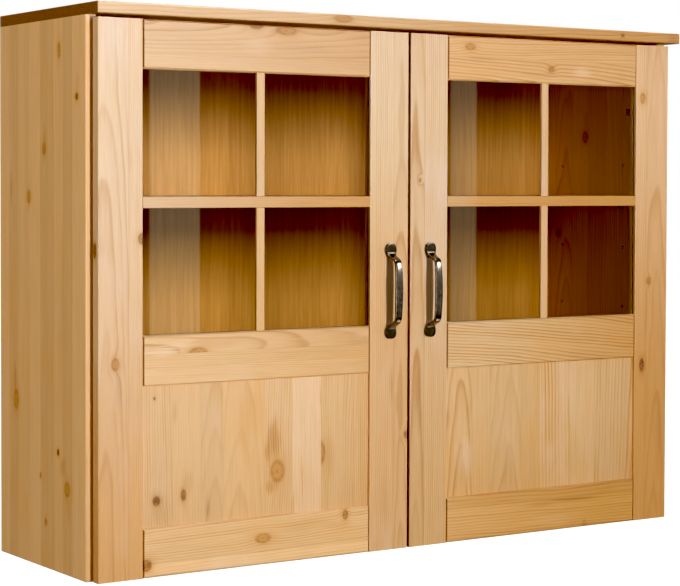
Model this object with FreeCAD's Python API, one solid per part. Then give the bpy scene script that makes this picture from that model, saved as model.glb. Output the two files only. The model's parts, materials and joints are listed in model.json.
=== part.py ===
import FreeCAD, Part
import os
import math

os.makedirs("parts", exist_ok=True)
V = FreeCAD.Vector

# ---------------------------------------------------------------------------
# Wall display cabinet in pine: two framed doors, each with a glazed upper
# field divided by glazing bars and a solid lower panel, bow pulls, concealed
# cup hinges, one adjustable shelf.
#
# Frame: X across the front (right as seen from the front), Y towards the wall
# (the wall plane is Y = 0, the front looks along -Y), Z up.  Z = 0 is the
# height of the two wall screws in the hanging rail.  Heights below are given
# from the underside of the cabinet and shifted by HANG_Z.
# ---------------------------------------------------------------------------

# driving dimensions, mm
HANG_Z = 702.0          # wall screw height above the underside
SIDE_T = 15.0           # side panel thickness
SIDE_D = 262.0          # side panel depth
SIDE_H = 723.5          # side panel height
CARCASS_W = 983.0       # across the outer faces of the sides
TOP_W = 983.0           # top board length, flush with the sides
TOP_T = 15.0            # top board thickness
TOP_FRONT = 296.0       # wall plane to the front of the top board
BACK_T = 4.0            # back panel thickness
BACK_LET = 8.0          # rebate width for the back panel in the sides
BOTTOM_T = 15.0
SHELF_T = 15.0
SHELF_TOP = 492.5       # shelf's upper face
SHELF_FRONT = 250.0     # wall plane to the shelf's front edge
RAIL_H = 44.0           # hanging rail
RAIL_T = 15.0
WALL_SCREW_X = 350.0    # wall screw holes at +-X
WALL_SCREW_R = 3.0

DOOR_W = 481.0
DOOR_H = 720.0
DOOR_T = 15.0
DOOR_GAP = 4.0          # between the two doors
DOOR_STANDOFF = 3.0     # door back to the front edges of the sides
STILE_W = 64.0
TOP_RAIL_H = 63.5
MID_RAIL_Z = 248.0      # underside of the middle rail
MID_RAIL_H = 66.0
BOT_RAIL_H = 64.0
STILE_R = 1.2           # eased arrises of the stiles
RAIL_C = 2.2            # chamfer around the rails' faces
RECESS = 4.5            # panel and glass behind the frame's face
LIP = 8.0               # groove and rebate depth
PANEL_T = 6.0
GLASS_T = 3.0
BAR_H = 15.0            # horizontal glazing bar, height
BAR_W = 12.5            # upright glazing bars, width
BAR_T = 4.4

DOWEL_R = 4.0
DOWEL_L = 40.0

HINGE_Z = (100.0, 620.0)    # hinge heights on the door
PIVOT_X = 7.0               # hinge axis from the door's outer edge
PIVOT_Y = 7.5               # hinge axis from the door's face
CUP_X = 20.5                # cup centre from the door's outer edge
CUP_R = 17.4
CUP_DEEP = 11.4

HANDLE_X = DOOR_W - STILE_W / 2.0
HANDLE_Z = 360.0
HANDLE_PITCH = 96.0         # screw spacing
HANDLE_L = 130.0
HANDLE_OUT = 28.0

# derived
IN_X = CARCASS_W / 2.0 - SIDE_T             # inner face of a side
OUT_X = CARCASS_W / 2.0
DOOR_FRONT = -(SIDE_D + DOOR_STANDOFF + DOOR_T)
DOOR_X0 = -(DOOR_W + DOOR_GAP / 2.0)        # outer edge of the left door
OPEN_X0 = STILE_W
OPEN_X1 = DOOR_W - STILE_W
GLASS_Z0 = MID_RAIL_Z + MID_RAIL_H
GLASS_Z1 = DOOR_H - TOP_RAIL_H
BAR_MID = (GLASS_Z0 + GLASS_Z1) / 2.0
PIN_Z = SHELF_TOP - SHELF_T - 2.5
PIN_ROWS_Y = (-40.0, -186.0)
PIN_HOLES_Z = (319.0, 411.0, PIN_Z, 539.0)


def bx(x0, x1, y0, y1, z0, z1):
    """Block between two corners, heights from the cabinet's underside."""
    return Part.makeBox(x1 - x0, y1 - y0, z1 - z0, V(x0, y0, z0 - HANG_Z))


def cyl(r, h, p, d):
    """Cylinder from p along d, height from the cabinet's underside."""
    return Part.makeCylinder(r, h, V(p[0], p[1], p[2] - HANG_Z), V(*d))


def edges_along(shape, axis, test=None):
    """Straight edges parallel to one axis, filtered by their midpoint."""
    out = []
    for e in shape.Edges:
        if len(e.Vertexes) != 2:
            continue
        d = e.Vertexes[1].Point - e.Vertexes[0].Point
        if d.Length < 1e-6 or not isinstance(e.Curve, Part.Line):
            continue
        d = d / d.Length
        if abs(abs((d.x, d.y, d.z)[axis]) - 1.0) > 1e-6:
            continue
        m = (e.Vertexes[0].Point + e.Vertexes[1].Point) * 0.5
        if test is None or test(m.x, m.y, m.z + HANG_Z):
            out.append(e)
    return out


def cut_all(shape, tools):
    for t in tools:
        shape = shape.cut(t)
    return shape


def solids(shapes):
    return Part.makeCompound(shapes)


def save(name, shape):
    bad = [s for s in shape.Solids if not s.isValid()]
    print(name, "solids", len(shape.Solids), "valid", not bad and shape.isValid(),
          "volume %.0f" % shape.Volume)
    shape.exportStep("parts/%s.step" % name)


def mirrored(shape):
    return shape.mirror(V(0, 0, 0), V(1, 0, 0))


# ---------------------------------------------------------------------------
# carcass
# ---------------------------------------------------------------------------

side_cuts_left = []
carcass_dowels = []
cams = []
cam_bolts = []
nails = []
bottom_cuts = []
top_cuts = []
rail_cuts = []
back_cuts = []

# dowels between the sides and the top board
for sx in (-1, 1):
    xc = sx * (OUT_X - SIDE_T / 2.0)
    for y in (-45.0, -215.0):
        carcass_dowels.append(cyl(DOWEL_R - 0.05, 29.0, (xc, y, SIDE_H - 19.5), (0, 0, 1)))
        top_cuts.append(cyl(DOWEL_R, 10.0, (xc, y, SIDE_H - 0.01), (0, 0, 1)))
# dowels between the sides and the bottom panel, and the hanging rail
for sx in (-1, 1):
    for y in (-45.0, -215.0):
        carcass_dowels.append(cyl(DOWEL_R - 0.05, 29.0, (sx * (IN_X - 19.5), y, BOTTOM_T / 2.0), (sx, 0, 0)))
        bottom_cuts.append(cyl(DOWEL_R, 20.0, (sx * (IN_X - 20.0), y, BOTTOM_T / 2.0), (sx, 0, 0)))
    for z in (SIDE_H - 32.0, SIDE_H - 11.0):
        y = -BACK_T - RAIL_T / 2.0
        carcass_dowels.append(cyl(DOWEL_R - 0.05, 29.0, (sx * (IN_X - 19.5), y, z), (sx, 0, 0)))
        rail_cuts.append(cyl(DOWEL_R, 20.0, (sx * (IN_X - 20.0), y, z), (sx, 0, 0)))
# dowel holes in the left side
for y in (-45.0, -215.0):
    side_cuts_left.append(cyl(DOWEL_R, 20.0, (-(OUT_X - SIDE_T / 2.0), y, SIDE_H - 20.0), (0, 0, 1)))
    side_cuts_left.append(cyl(DOWEL_R, 10.0, (-IN_X + 0.01, y, BOTTOM_T / 2.0), (-1, 0, 0)))
for z in (SIDE_H - 32.0, SIDE_H - 11.0):
    side_cuts_left.append(cyl(DOWEL_R, 10.0, (-IN_X + 0.01, -BACK_T - RAIL_T / 2.0, z), (-1, 0, 0)))

# cam locks: in the sides for the top board, in the bottom panel for the sides
CAM_R, CAM_DEEP, CAM_IN = 7.4, 12.0, 34.0
BOLT_R, BOLT_TIP_R = 3.0, 2.5
for sx in (-1, 1):
    xm = sx * (OUT_X - SIDE_T / 2.0)
    for y in (-95.0, -170.0):
        bolt = cyl(BOLT_R, CAM_IN + 6.0, (xm, y, SIDE_H - CAM_IN - 6.0), (0, 0, 1)).fuse(
            cyl(BOLT_TIP_R, 9.0, (xm, y, SIDE_H), (0, 0, 1)))
        cam_bolts.append(bolt.removeSplitter())
        cam = cyl(CAM_R, CAM_DEEP, (sx * IN_X, y, SIDE_H - CAM_IN), (sx, 0, 0))
        cam = cam.cut(cyl(BOLT_R + 0.05, 30.0, (xm, y, SIDE_H - CAM_IN - 6.05), (0, 0, 1)))
        cam = cam.cut(bx(sx * IN_X - 1.2, sx * IN_X + 1.2, y - 0.9, y + 0.9, SIDE_H - CAM_IN - 4.5, SIDE_H - CAM_IN + 4.5))
        cams.append(cam)
        top_cuts.append(cyl(BOLT_TIP_R + 0.05, 9.1, (xm, y, SIDE_H - 0.01), (0, 0, 1)))
        if sx < 0:
            side_cuts_left.append(cyl(CAM_R + 0.1, CAM_DEEP + 0.1, (-IN_X + 0.01, y, SIDE_H - CAM_IN), (-1, 0, 0)))
            side_cuts_left.append(cyl(BOLT_R + 0.05, CAM_IN, (xm, y, SIDE_H - CAM_IN + 0.01), (0, 0, 1)))
        zb = BOTTOM_T / 2.0
        xb = sx * (IN_X - CAM_IN)
        bolt = cyl(BOLT_R, CAM_IN + 6.0, (sx * (IN_X - CAM_IN - 6.0), y, zb), (sx, 0, 0)).fuse(
            cyl(BOLT_TIP_R, 9.0, (sx * IN_X, y, zb), (sx, 0, 0)))
        cam_bolts.append(bolt.removeSplitter())
        cam = cyl(CAM_R, CAM_DEEP, (xb, y, 0.0), (0, 0, 1))
        cam = cam.cut(cyl(BOLT_R + 0.05, 30.0, (sx * (IN_X - CAM_IN - 6.05), y, zb), (sx, 0, 0)))
        cam = cam.cut(bx(xb - 4.5, xb + 4.5, y - 0.9, y + 0.9, -0.1, 1.2))
        cams.append(cam)
        bottom_cuts.append(cyl(CAM_R + 0.1, CAM_DEEP + 0.1, (xb, y, -0.01), (0, 0, 1)))
        bottom_cuts.append(cyl(BOLT_R + 0.05, CAM_IN, (xb, y, zb), (sx, 0, 0)))
        if sx < 0:
            side_cuts_left.append(cyl(BOLT_TIP_R + 0.05, 9.1, (-IN_X + 0.01, y, zb), (-1, 0, 0)))

# shelf pin holes in the sides
for y in PIN_ROWS_Y:
    for z in PIN_HOLES_Z:
        side_cuts_left.append(cyl(2.5, 8.5, (-IN_X + 0.01, y, z), (-1, 0, 0)))

# hinge plate screw holes in the sides
PLATE_Y = -SIDE_D + 37.0
for hz in HINGE_Z:
    for dz in (-16.0, 16.0):
        side_cuts_left.append(cyl(1.6, 11.5, (-IN_X + 0.01, PLATE_Y, hz + dz), (-1, 0, 0)))

# back panel nails
for sx in (-1, 1):
    for z in (80.0, 260.0, 440.0, 620.0):
        nails.append((sx * (IN_X + BACK_LET / 2.0), z))
        if sx < 0:
            side_cuts_left.append(cyl(0.8, 14.0, (-(IN_X + BACK_LET / 2.0), -BACK_T + 0.01, z), (0, -1, 0)))
for x in (-300.0, -100.0, 100.0, 300.0):
    nails.append((x, BOTTOM_T / 2.0))
    bottom_cuts.append(cyl(0.8, 14.0, (x, -BACK_T + 0.01, BOTTOM_T / 2.0), (0, -1, 0)))
    nails.append((x * 0.8, SIDE_H - 10.0))
    rail_cuts.append(cyl(0.8, 14.0, (x * 0.8, -BACK_T + 0.01, SIDE_H - 10.0), (0, -1, 0)))
nail_solids = []
for x, z in nails:
    n = cyl(0.75, 17.0, (x, 0.0, z), (0, -1, 0)).fuse(cyl(1.6, 0.7, (x, 0.0, z), (0, -1, 0)))
    nail_solids.append(n.removeSplitter())
    back_cuts.append(cyl(0.8, BACK_T + 1.0, (x, 0.5, z), (0, -1, 0)))
    back_cuts.append(cyl(1.7, 1.25, (x, 0.5, z), (0, -1, 0)))

# wall screw holes
for sx in (-1, 1):
    back_cuts.append(cyl(WALL_SCREW_R, BACK_T + 1.0, (sx * WALL_SCREW_X, 0.5, HANG_Z), (0, -1, 0)))
    rail_cuts.append(cyl(WALL_SCREW_R, RAIL_T + 1.0, (sx * WALL_SCREW_X, -BACK_T + 0.5, HANG_Z), (0, -1, 0)))

# side panels: edge-glued boards with eased front arrises, rebated for the back
side = bx(-OUT_X, -IN_X, -SIDE_D, 0.0, 0.0, SIDE_H)
side = side.makeFillet(1.5, edges_along(side, 2, lambda x, y, z: y < -SIDE_D + 1.0))
side = side.makeChamfer(0.8, edges_along(side, 1, lambda x, y, z: z < 0.5))
side = side.cut(bx(-IN_X - BACK_LET, -IN_X + 1.0, -BACK_T, 1.0, -1.0, SIDE_H + 1.0))
side = cut_all(side, side_cuts_left)
save("left_side_panel", side)
save("right_side_panel", mirrored(side))

# top board, flush with the sides at its ends and overhanging the doors
top = bx(-TOP_W / 2.0, TOP_W / 2.0, -TOP_FRONT, 0.0, SIDE_H, SIDE_H + TOP_T)
top = top.makeFillet(1.6, edges_along(top, 0, lambda x, y, z: y < -TOP_FRONT + 1.0)
                     + edges_along(top, 2, lambda x, y, z: y < -TOP_FRONT + 1.0)
                     + edges_along(top, 1, lambda x, y, z: z > SIDE_H + TOP_T - 1.0))
save("top_board", cut_all(top, top_cuts))

bottom = bx(-IN_X, IN_X, -SIDE_D, -BACK_T, 0.0, BOTTOM_T)
bottom = bottom.makeFillet(1.2, edges_along(bottom, 0, lambda x, y, z: y < -SIDE_D + 1.0))
save("bottom_panel", cut_all(bottom, bottom_cuts))

back = bx(-IN_X - BACK_LET + 0.3, IN_X + BACK_LET - 0.3, -BACK_T, 0.0, 0.0, SIDE_H - 0.2)
save("back_panel", cut_all(back, back_cuts))

rail = bx(-IN_X, IN_X, -BACK_T - RAIL_T, -BACK_T, SIDE_H - RAIL_H, SIDE_H)
rail = rail.makeFillet(1.2, edges_along(rail, 0, lambda x, y, z: z < SIDE_H - RAIL_H + 1.0 and y < -BACK_T - 1.0))
save("hanging_rail", cut_all(rail, rail_cuts))

shelf = bx(-IN_X + 1.0, IN_X - 1.0, -SHELF_FRONT, -BACK_T - 2.0, SHELF_TOP - SHELF_T, SHELF_TOP)
shelf = shelf.makeFillet(1.5, edges_along(shelf, 0, lambda x, y, z: y < -SHELF_FRONT + 1.0))
save("shelf", shelf)

pins = []
for sx in (-1, 1):
    for y in PIN_ROWS_Y:
        p = cyl(2.45, 16.0, (sx * (IN_X + 8.0), y, PIN_Z), (-sx, 0, 0)).fuse(
            cyl(4.0, 1.2, (sx * IN_X, y, PIN_Z), (-sx, 0, 0)).cut(
                bx(sx * IN_X - 5.0, sx * IN_X + 5.0, y - 5.0, y + 5.0, PIN_Z + 2.45, PIN_Z + 6.0)))
        pins.append(p.removeSplitter())
save("shelf_pins", solids(pins))
save("carcass_dowels", solids(carcass_dowels))
save("carcass_cam_locks", solids(cams))
save("carcass_cam_bolts", solids(cam_bolts))
save("back_panel_nails", solids(nail_solids))

# ---------------------------------------------------------------------------
# left door; the right door is its mirror image
# xd is measured from the door's outer edge, yd back from the door's face
# ---------------------------------------------------------------------------

FY = DOOR_FRONT


def dbx(x0, x1, y0, y1, z0, z1):
    return bx(DOOR_X0 + x0, DOOR_X0 + x1, FY + y0, FY + y1, z0, z1)


def dcyl(r, h, p, d):
    return cyl(r, h, (DOOR_X0 + p[0], FY + p[1], p[2]), d)


def front_test(x, y, z):
    return y < FY + 0.5


# dowels between rails and stiles
rail_rows = (
    (18.0, 42.0),
    (MID_RAIL_Z + 20.0, MID_RAIL_Z + 46.0),
    (GLASS_Z1 + 22.0, GLASS_Z1 + 46.0),
)
door_dowels = []
dowel_holes = []
for row in rail_rows:
    for z in row:
        for xj in (OPEN_X0, OPEN_X1):
            door_dowels.append(dcyl(DOWEL_R - 0.05, DOWEL_L - 1.0, (xj - DOWEL_L / 2.0 + 0.5, DOOR_T / 2.0, z), (1, 0, 0)))
            dowel_holes.append(dcyl(DOWEL_R, DOWEL_L, (xj - DOWEL_L / 2.0, DOOR_T / 2.0, z), (1, 0, 0)))

panel_groove_y = (RECESS - 0.1, RECESS + PANEL_T + 0.1)


def stile(x0, x1, inner):
    s = dbx(x0, x1, 0.0, DOOR_T, 0.0, DOOR_H)
    s = s.makeFillet(STILE_R, edges_along(s, 2))
    if inner > x0 + 1.0:
        gx0, gx1 = inner - LIP, inner + 1.0
    else:
        gx0, gx1 = inner - 1.0, inner + LIP
    s = s.cut(dbx(gx0, gx1, panel_groove_y[0], panel_groove_y[1], BOT_RAIL_H - LIP, MID_RAIL_Z + LIP))
    s = s.cut(dbx(gx0, gx1, RECESS, DOOR_T + 1.0, GLASS_Z0 - LIP, GLASS_Z1 + LIP))
    return cut_all(s, dowel_holes)


# hinge stile with the two cup pockets and their screw holes
hinge_stile = stile(0.0, STILE_W, STILE_W)
CUP_SCREW_X = CUP_X + 6.0
for hz in HINGE_Z:
    hinge_stile = hinge_stile.cut(dcyl(CUP_R + 0.1, CUP_DEEP + 1.1, (CUP_X, DOOR_T + 1.0, hz), (0, -1, 0)))
    for dz in (-24.0, 24.0):
        hinge_stile = hinge_stile.cut(dcyl(1.6, 9.5, (CUP_SCREW_X, DOOR_T + 0.01, hz + dz), (0, -1, 0)))

# handle stile with the through holes of the pull
handle_stile = stile(OPEN_X1, DOOR_W, OPEN_X1)
for dz in (-HANDLE_PITCH / 2.0, HANDLE_PITCH / 2.0):
    handle_stile = handle_stile.cut(dcyl(2.2, DOOR_T + 2.0, (HANDLE_X, -1.0, HANDLE_Z + dz), (0, 1, 0)))


def rail_block(z0, z1):
    r = dbx(OPEN_X0, OPEN_X1, 0.0, DOOR_T, z0, z1)
    front = edges_along(r, 0, front_test) + edges_along(r, 2, front_test)
    return r.makeChamfer(RAIL_C, front)


top_rail = rail_block(GLASS_Z1, DOOR_H)
top_rail = top_rail.cut(dbx(OPEN_X0 - 1, OPEN_X1 + 1, RECESS, DOOR_T + 1.0, GLASS_Z1 - 1.0, GLASS_Z1 + LIP))
top_rail = cut_all(top_rail, dowel_holes)

mid_rail = rail_block(MID_RAIL_Z, GLASS_Z0)
mid_rail = mid_rail.cut(dbx(OPEN_X0 - 1, OPEN_X1 + 1, RECESS, DOOR_T + 1.0, GLASS_Z0 - LIP, GLASS_Z0 + 1.0))
mid_rail = mid_rail.cut(dbx(OPEN_X0 - 1, OPEN_X1 + 1, panel_groove_y[0], panel_groove_y[1], MID_RAIL_Z - 1.0, MID_RAIL_Z + LIP))
mid_rail = cut_all(mid_rail, dowel_holes)

bottom_rail = rail_block(0.0, BOT_RAIL_H)
bottom_rail = bottom_rail.cut(dbx(OPEN_X0 - 1, OPEN_X1 + 1, panel_groove_y[0], panel_groove_y[1], BOT_RAIL_H - LIP, BOT_RAIL_H + 1.0))
bottom_rail = cut_all(bottom_rail, dowel_holes)

# lower panel, free to move in its grooves
panel = dbx(OPEN_X0 - LIP + 1.5, OPEN_X1 + LIP - 1.5, RECESS, RECESS + PANEL_T,
            BOT_RAIL_H - LIP + 1.0, MID_RAIL_Z + LIP - 1.0)

# glass, glazing bars in front of it and beads behind it
glass = dbx(OPEN_X0 - LIP + 1.0, OPEN_X1 + LIP - 1.0, RECESS + 0.05, RECESS + 0.05 + GLASS_T,
            GLASS_Z0 - LIP + 1.0, GLASS_Z1 + LIP - 1.0)
glass = glass.makeChamfer(0.3, glass.Edges)


def bar(x0, x1, z0, z1, axis):
    b = dbx(x0, x1, 0.0, BAR_T, z0, z1)
    return b.makeChamfer(0.6, edges_along(b, axis, front_test))


BAR_Z0, BAR_Z1 = BAR_MID - BAR_H / 2.0, BAR_MID + BAR_H / 2.0
BAR_X = (OPEN_X0 + OPEN_X1) / 2.0
bar_h = bar(OPEN_X0, OPEN_X1, BAR_Z0, BAR_Z1, 0)
bar_up = bar(BAR_X - BAR_W / 2.0, BAR_X + BAR_W / 2.0, BAR_Z1, GLASS_Z1, 2)
bar_low = bar(BAR_X - BAR_W / 2.0, BAR_X + BAR_W / 2.0, GLASS_Z0, BAR_Z0, 2)

BEAD_Y = RECESS + GLASS_T + 0.15


def bead(x0, x1, z0, z1, axis, test):
    b = dbx(x0, x1, BEAD_Y, DOOR_T, z0, z1)
    return b.makeFillet(2.5, edges_along(b, axis, test))


beads = [
    bead(OPEN_X0 - LIP + 0.05, OPEN_X0, GLASS_Z0 - LIP + 0.05, GLASS_Z1 + LIP - 0.05, 2,
         lambda x, y, z: x > DOOR_X0 + OPEN_X0 - 0.5 and y > FY + DOOR_T - 0.5),
    bead(OPEN_X1, OPEN_X1 + LIP - 0.05, GLASS_Z0 - LIP + 0.05, GLASS_Z1 + LIP - 0.05, 2,
         lambda x, y, z: x < DOOR_X0 + OPEN_X1 + 0.5 and y > FY + DOOR_T - 0.5),
    bead(OPEN_X0, OPEN_X1, GLASS_Z1, GLASS_Z1 + LIP - 0.05, 0,
         lambda x, y, z: z < GLASS_Z1 + 0.5 and y > FY + DOOR_T - 0.5),
    bead(OPEN_X0, OPEN_X1, GLASS_Z0 - LIP + 0.05, GLASS_Z0, 0,
         lambda x, y, z: z > GLASS_Z0 - 0.5 and y > FY + DOOR_T - 0.5),
]

# ---------------------------------------------------------------------------
# bow pull: two foot pads, two legs and a grip that widens to the middle.
# Its shape is the common part of a side profile and a front profile.
# ---------------------------------------------------------------------------


def handle_shape():
    cx = DOOR_X0 + HANDLE_X
    cz = HANDLE_Z - HANG_Z
    hl = HANDLE_L / 2.0

    def sp(u, v):
        return V(cx - 15.0, FY - u, cz + v)

    def line(a, b):
        return Part.LineSegment(a, b).toShape()

    def arc(a, m, b):
        return Part.Arc(a, m, b).toShape()

    # side profile: u out from the door, v along the handle
    outer = [(0.0, hl), (1.6, hl), (4.6, hl - 6.0), (5.0, hl - 15.0), (20.5, hl - 21.0),
             (26.0, hl - 28.0)]
    inner = [(0.0, 41.0), (3.0, 41.0), (17.5, 36.5), (22.0, 31.0)]
    e = []
    e.append(line(sp(*outer[0]), sp(*outer[1])))
    e.append(arc(sp(*outer[1]), sp(3.7, hl - 2.2), sp(*outer[2])))
    e.append(line(sp(*outer[2]), sp(*outer[3])))
    e.append(line(sp(*outer[3]), sp(*outer[4])))
    e.append(arc(sp(*outer[4]), sp(24.4, hl - 23.4), sp(*outer[5])))
    e.append(arc(sp(*outer[5]), sp(HANDLE_OUT, 0.0), sp(outer[5][0], -outer[5][1])))
    e.append(arc(sp(outer[5][0], -outer[5][1]), sp(24.4, -(hl - 23.4)), sp(outer[4][0], -outer[4][1])))
    e.append(line(sp(outer[4][0], -outer[4][1]), sp(outer[3][0], -outer[3][1])))
    e.append(line(sp(outer[3][0], -outer[3][1]), sp(outer[2][0], -outer[2][1])))
    e.append(arc(sp(outer[2][0], -outer[2][1]), sp(3.7, -(hl - 2.2)), sp(outer[1][0], -outer[1][1])))
    e.append(line(sp(outer[1][0], -outer[1][1]), sp(0.0, -hl)))
    e.append(line(sp(0.0, -hl), sp(0.0, -inner[0][1])))
    e.append(line(sp(0.0, -inner[0][1]), sp(inner[1][0], -inner[1][1])))
    e.append(line(sp(inner[1][0], -inner[1][1]), sp(inner[2][0], -inner[2][1])))
    e.append(arc(sp(inner[2][0], -inner[2][1]), sp(20.7, -34.3), sp(inner[3][0], -inner[3][1])))
    e.append(arc(sp(inner[3][0], -inner[3][1]), sp(HANDLE_OUT - 4.0, 0.0), sp(*inner[3])))
    e.append(arc(sp(*inner[3]), sp(20.7, 34.3), sp(*inner[2])))
    e.append(line(sp(*inner[2]), sp(*inner[1])))
    e.append(line(sp(*inner[1]), sp(*inner[0])))
    e.append(line(sp(*inner[0]), sp(*outer[0])))
    side_face = Part.Face(Part.Wire(Part.__sortEdges__(e)))
    side_solid = side_face.extrude(V(30.0, 0, 0))

    # front profile: w across, v along
    def fp(w, v):
        return V(cx + w, FY + 1.0, cz + v)

    pr = 8.6
    neck_w, neck_v, mid_w = 4.8, 38.0, 6.6
    f = []
    f.append(arc(fp(-pr, hl - pr), fp(0, hl), fp(pr, hl - pr)))
    f.append(line(fp(pr, hl - pr), fp(pr, 48.0)))
    f.append(arc(fp(pr, 48.0), fp(7.4, 43.2), fp(neck_w, neck_v)))
    f.append(arc(fp(neck_w, neck_v), fp(mid_w, 0.0), fp(neck_w, -neck_v)))
    f.append(arc(fp(neck_w, -neck_v), fp(7.4, -43.2), fp(pr, -48.0)))
    f.append(line(fp(pr, -48.0), fp(pr, -(hl - pr))))
    f.append(arc(fp(pr, -(hl - pr)), fp(0, -hl), fp(-pr, -(hl - pr))))
    f.append(line(fp(-pr, -(hl - pr)), fp(-pr, -48.0)))
    f.append(arc(fp(-pr, -48.0), fp(-7.4, -43.2), fp(-neck_w, -neck_v)))
    f.append(arc(fp(-neck_w, -neck_v), fp(-mid_w, 0.0), fp(-neck_w, neck_v)))
    f.append(arc(fp(-neck_w, neck_v), fp(-7.4, 43.2), fp(-pr, 48.0)))
    f.append(line(fp(-pr, 48.0), fp(-pr, hl - pr)))
    front_face = Part.Face(Part.Wire(Part.__sortEdges__(f)))
    front_solid = front_face.extrude(V(0, -40.0, 0))
    h = side_solid.common(front_solid)
    for dz in (-HANDLE_PITCH / 2.0, HANDLE_PITCH / 2.0):
        h = h.cut(dcyl(1.9, 6.0, (HANDLE_X, 0.01, HANDLE_Z + dz), (0, -1, 0)))
    return h.Solids[0] if len(h.Solids) == 1 else h


handle = handle_shape()

handle_screws = []
for dz in (-HANDLE_PITCH / 2.0, HANDLE_PITCH / 2.0):
    s = dcyl(1.85, DOOR_T + 5.5, (HANDLE_X, DOOR_T, HANDLE_Z + dz), (0, -1, 0)).fuse(
        dcyl(4.0, 2.2, (HANDLE_X, DOOR_T, HANDLE_Z + dz), (0, 1, 0)))
    s = s.removeSplitter()
    s = s.makeFillet(0.9, [ed for ed in s.Edges if isinstance(ed.Curve, Part.Circle)
                           and abs(ed.Curve.Radius - 4.0) < 1e-6
                           and ed.Curve.Center.y > FY + DOOR_T + 2.0])
    s = s.cut(dbx(HANDLE_X - 2.6, HANDLE_X + 2.6, DOOR_T + 1.2, DOOR_T + 4.0, HANDLE_Z + dz - 0.45, HANDLE_Z + dz + 0.45))
    s = s.cut(dbx(HANDLE_X - 0.45, HANDLE_X + 0.45, DOOR_T + 1.2, DOOR_T + 4.0, HANDLE_Z + dz - 2.6, HANDLE_Z + dz + 2.6))
    handle_screws.append(s)

# ---------------------------------------------------------------------------
# concealed hinges: a cup let into the door with a fixed pin, an arm on a
# mounting plate on the side panel that hooks round the pin
# ---------------------------------------------------------------------------
cups, hpins, cup_screws, arms, plates, plate_screws = [], [], [], [], [], []
IN_D = SIDE_T - (OUT_X + DOOR_X0)           # side's inner face, from the door's outer edge
for hz in HINGE_Z:
    pin = dcyl(1.2, 18.4, (PIVOT_X, PIVOT_Y, hz - 9.2), (0, 0, 1))
    hpins.append(pin)
    cup = dcyl(CUP_R, CUP_DEEP, (CUP_X, DOOR_T - CUP_DEEP, hz), (0, 1, 0))
    wing = dbx(18.0, 34.5, DOOR_T, DOOR_T + 1.2, hz - 31.5, hz + 31.5)
    wing = wing.makeFillet(4.0, edges_along(wing, 1))
    cup = cup.fuse(wing).removeSplitter()
    cup = cup.cut(dcyl(CUP_R - 0.8, 20.0, (CUP_X, DOOR_T - CUP_DEEP + 0.8, hz), (0, 1, 0)))
    cup = cup.cut(pin)
    for dz in (-24.0, 24.0):
        cup = cup.cut(dcyl(1.9, 4.0, (CUP_SCREW_X, DOOR_T - 1.0, hz + dz), (0, 1, 0)))
        sc = dcyl(1.55, 10.0, (CUP_SCREW_X, DOOR_T + 1.2, hz + dz), (0, -1, 0)).fuse(
            dcyl(3.1, 1.3, (CUP_SCREW_X, DOOR_T + 1.2, hz + dz), (0, 1, 0)))
        sc = sc.removeSplitter()
        sc = sc.cut(dbx(CUP_SCREW_X - 2.0, CUP_SCREW_X + 2.0, DOOR_T + 1.9, DOOR_T + 4.0, hz + dz - 0.4, hz + dz + 0.4))
        sc = sc.cut(dbx(CUP_SCREW_X - 0.4, CUP_SCREW_X + 0.4, DOOR_T + 1.9, DOOR_T + 4.0, hz + dz - 2.0, hz + dz + 2.0))
        cup_screws.append(sc)
    cups.append(cup)

    # arm: eye, hook, neck and channel body
    arm = dcyl(2.4, 8.0, (PIVOT_X, PIVOT_Y, hz - 4.0), (0, 0, 1))
    arm = arm.fuse(dbx(PIVOT_X, 19.2, 6.2, 8.8, hz - 4.0, hz + 4.0))
    arm = arm.fuse(dbx(16.2, 19.2, 6.2, 26.0, hz - 4.0, hz + 4.0))
    body = dbx(IN_D + 4.0, 19.2, 24.0, 74.0, hz - 6.5, hz + 6.5)
    body = body.makeFillet(2.0, edges_along(body, 1, lambda x, y, z: x > DOOR_X0 + 19.0))
    body = body.cut(dbx(IN_D + 3.0, 17.4, 23.0, 75.0, hz - 5.0, hz + 5.0))
    arm = arm.fuse(body).removeSplitter()
    arm = arm.cut(dcyl(1.3, 9.0, (PIVOT_X, PIVOT_Y, hz - 4.5), (0, 0, 1)))
    arm = arm.cut(dcyl(2.6, 8.0, (15.0, 62.0, hz), (1, 0, 0)))
    arms.append(arm)

    # mounting plate with two wings
    yp = FY + 0.0
    plate = dbx(IN_D, 17.3, 40.0, 73.0, hz - 4.9, hz + 4.9)
    plate = plate.fuse(dbx(IN_D, IN_D + 2.0, 47.0, 63.0, hz - 25.0, hz + 25.0)).removeSplitter()
    plate_y = PLATE_Y - FY
    for dz in (-16.0, 16.0):
        plate = plate.cut(dcyl(1.9, 6.0, (IN_D - 1.0, plate_y, hz + dz), (1, 0, 0)))
        sc = dcyl(1.55, 12.9, (IN_D - 10.9, plate_y, hz + dz), (1, 0, 0)).fuse(
            dcyl(3.1, 1.3, (IN_D + 2.0, plate_y, hz + dz), (1, 0, 0)))
        sc = sc.removeSplitter()
        sc = sc.cut(dbx(IN_D + 2.7, IN_D + 6.0, plate_y - 2.0, plate_y + 2.0, hz + dz - 0.4, hz + dz + 0.4))
        sc = sc.cut(dbx(IN_D + 2.7, IN_D + 6.0, plate_y - 0.4, plate_y + 0.4, hz + dz - 2.0, hz + dz + 2.0))
        plate_screws.append(sc)
    plate = plate.cut(dcyl(2.1, 10.0, (9.0, 62.0, hz), (1, 0, 0)))
    plates.append(plate)
    # arm screw
    sc = dcyl(2.05, 9.9, (9.6, 62.0, hz), (1, 0, 0)).fuse(dcyl(4.0, 1.6, (19.25, 62.0, hz), (1, 0, 0)))
    sc = sc.removeSplitter()
    sc = sc.cut(dbx(20.0, 24.0, 59.4, 64.6, hz - 0.45, hz + 0.45))
    plate_screws.append(sc)

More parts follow.
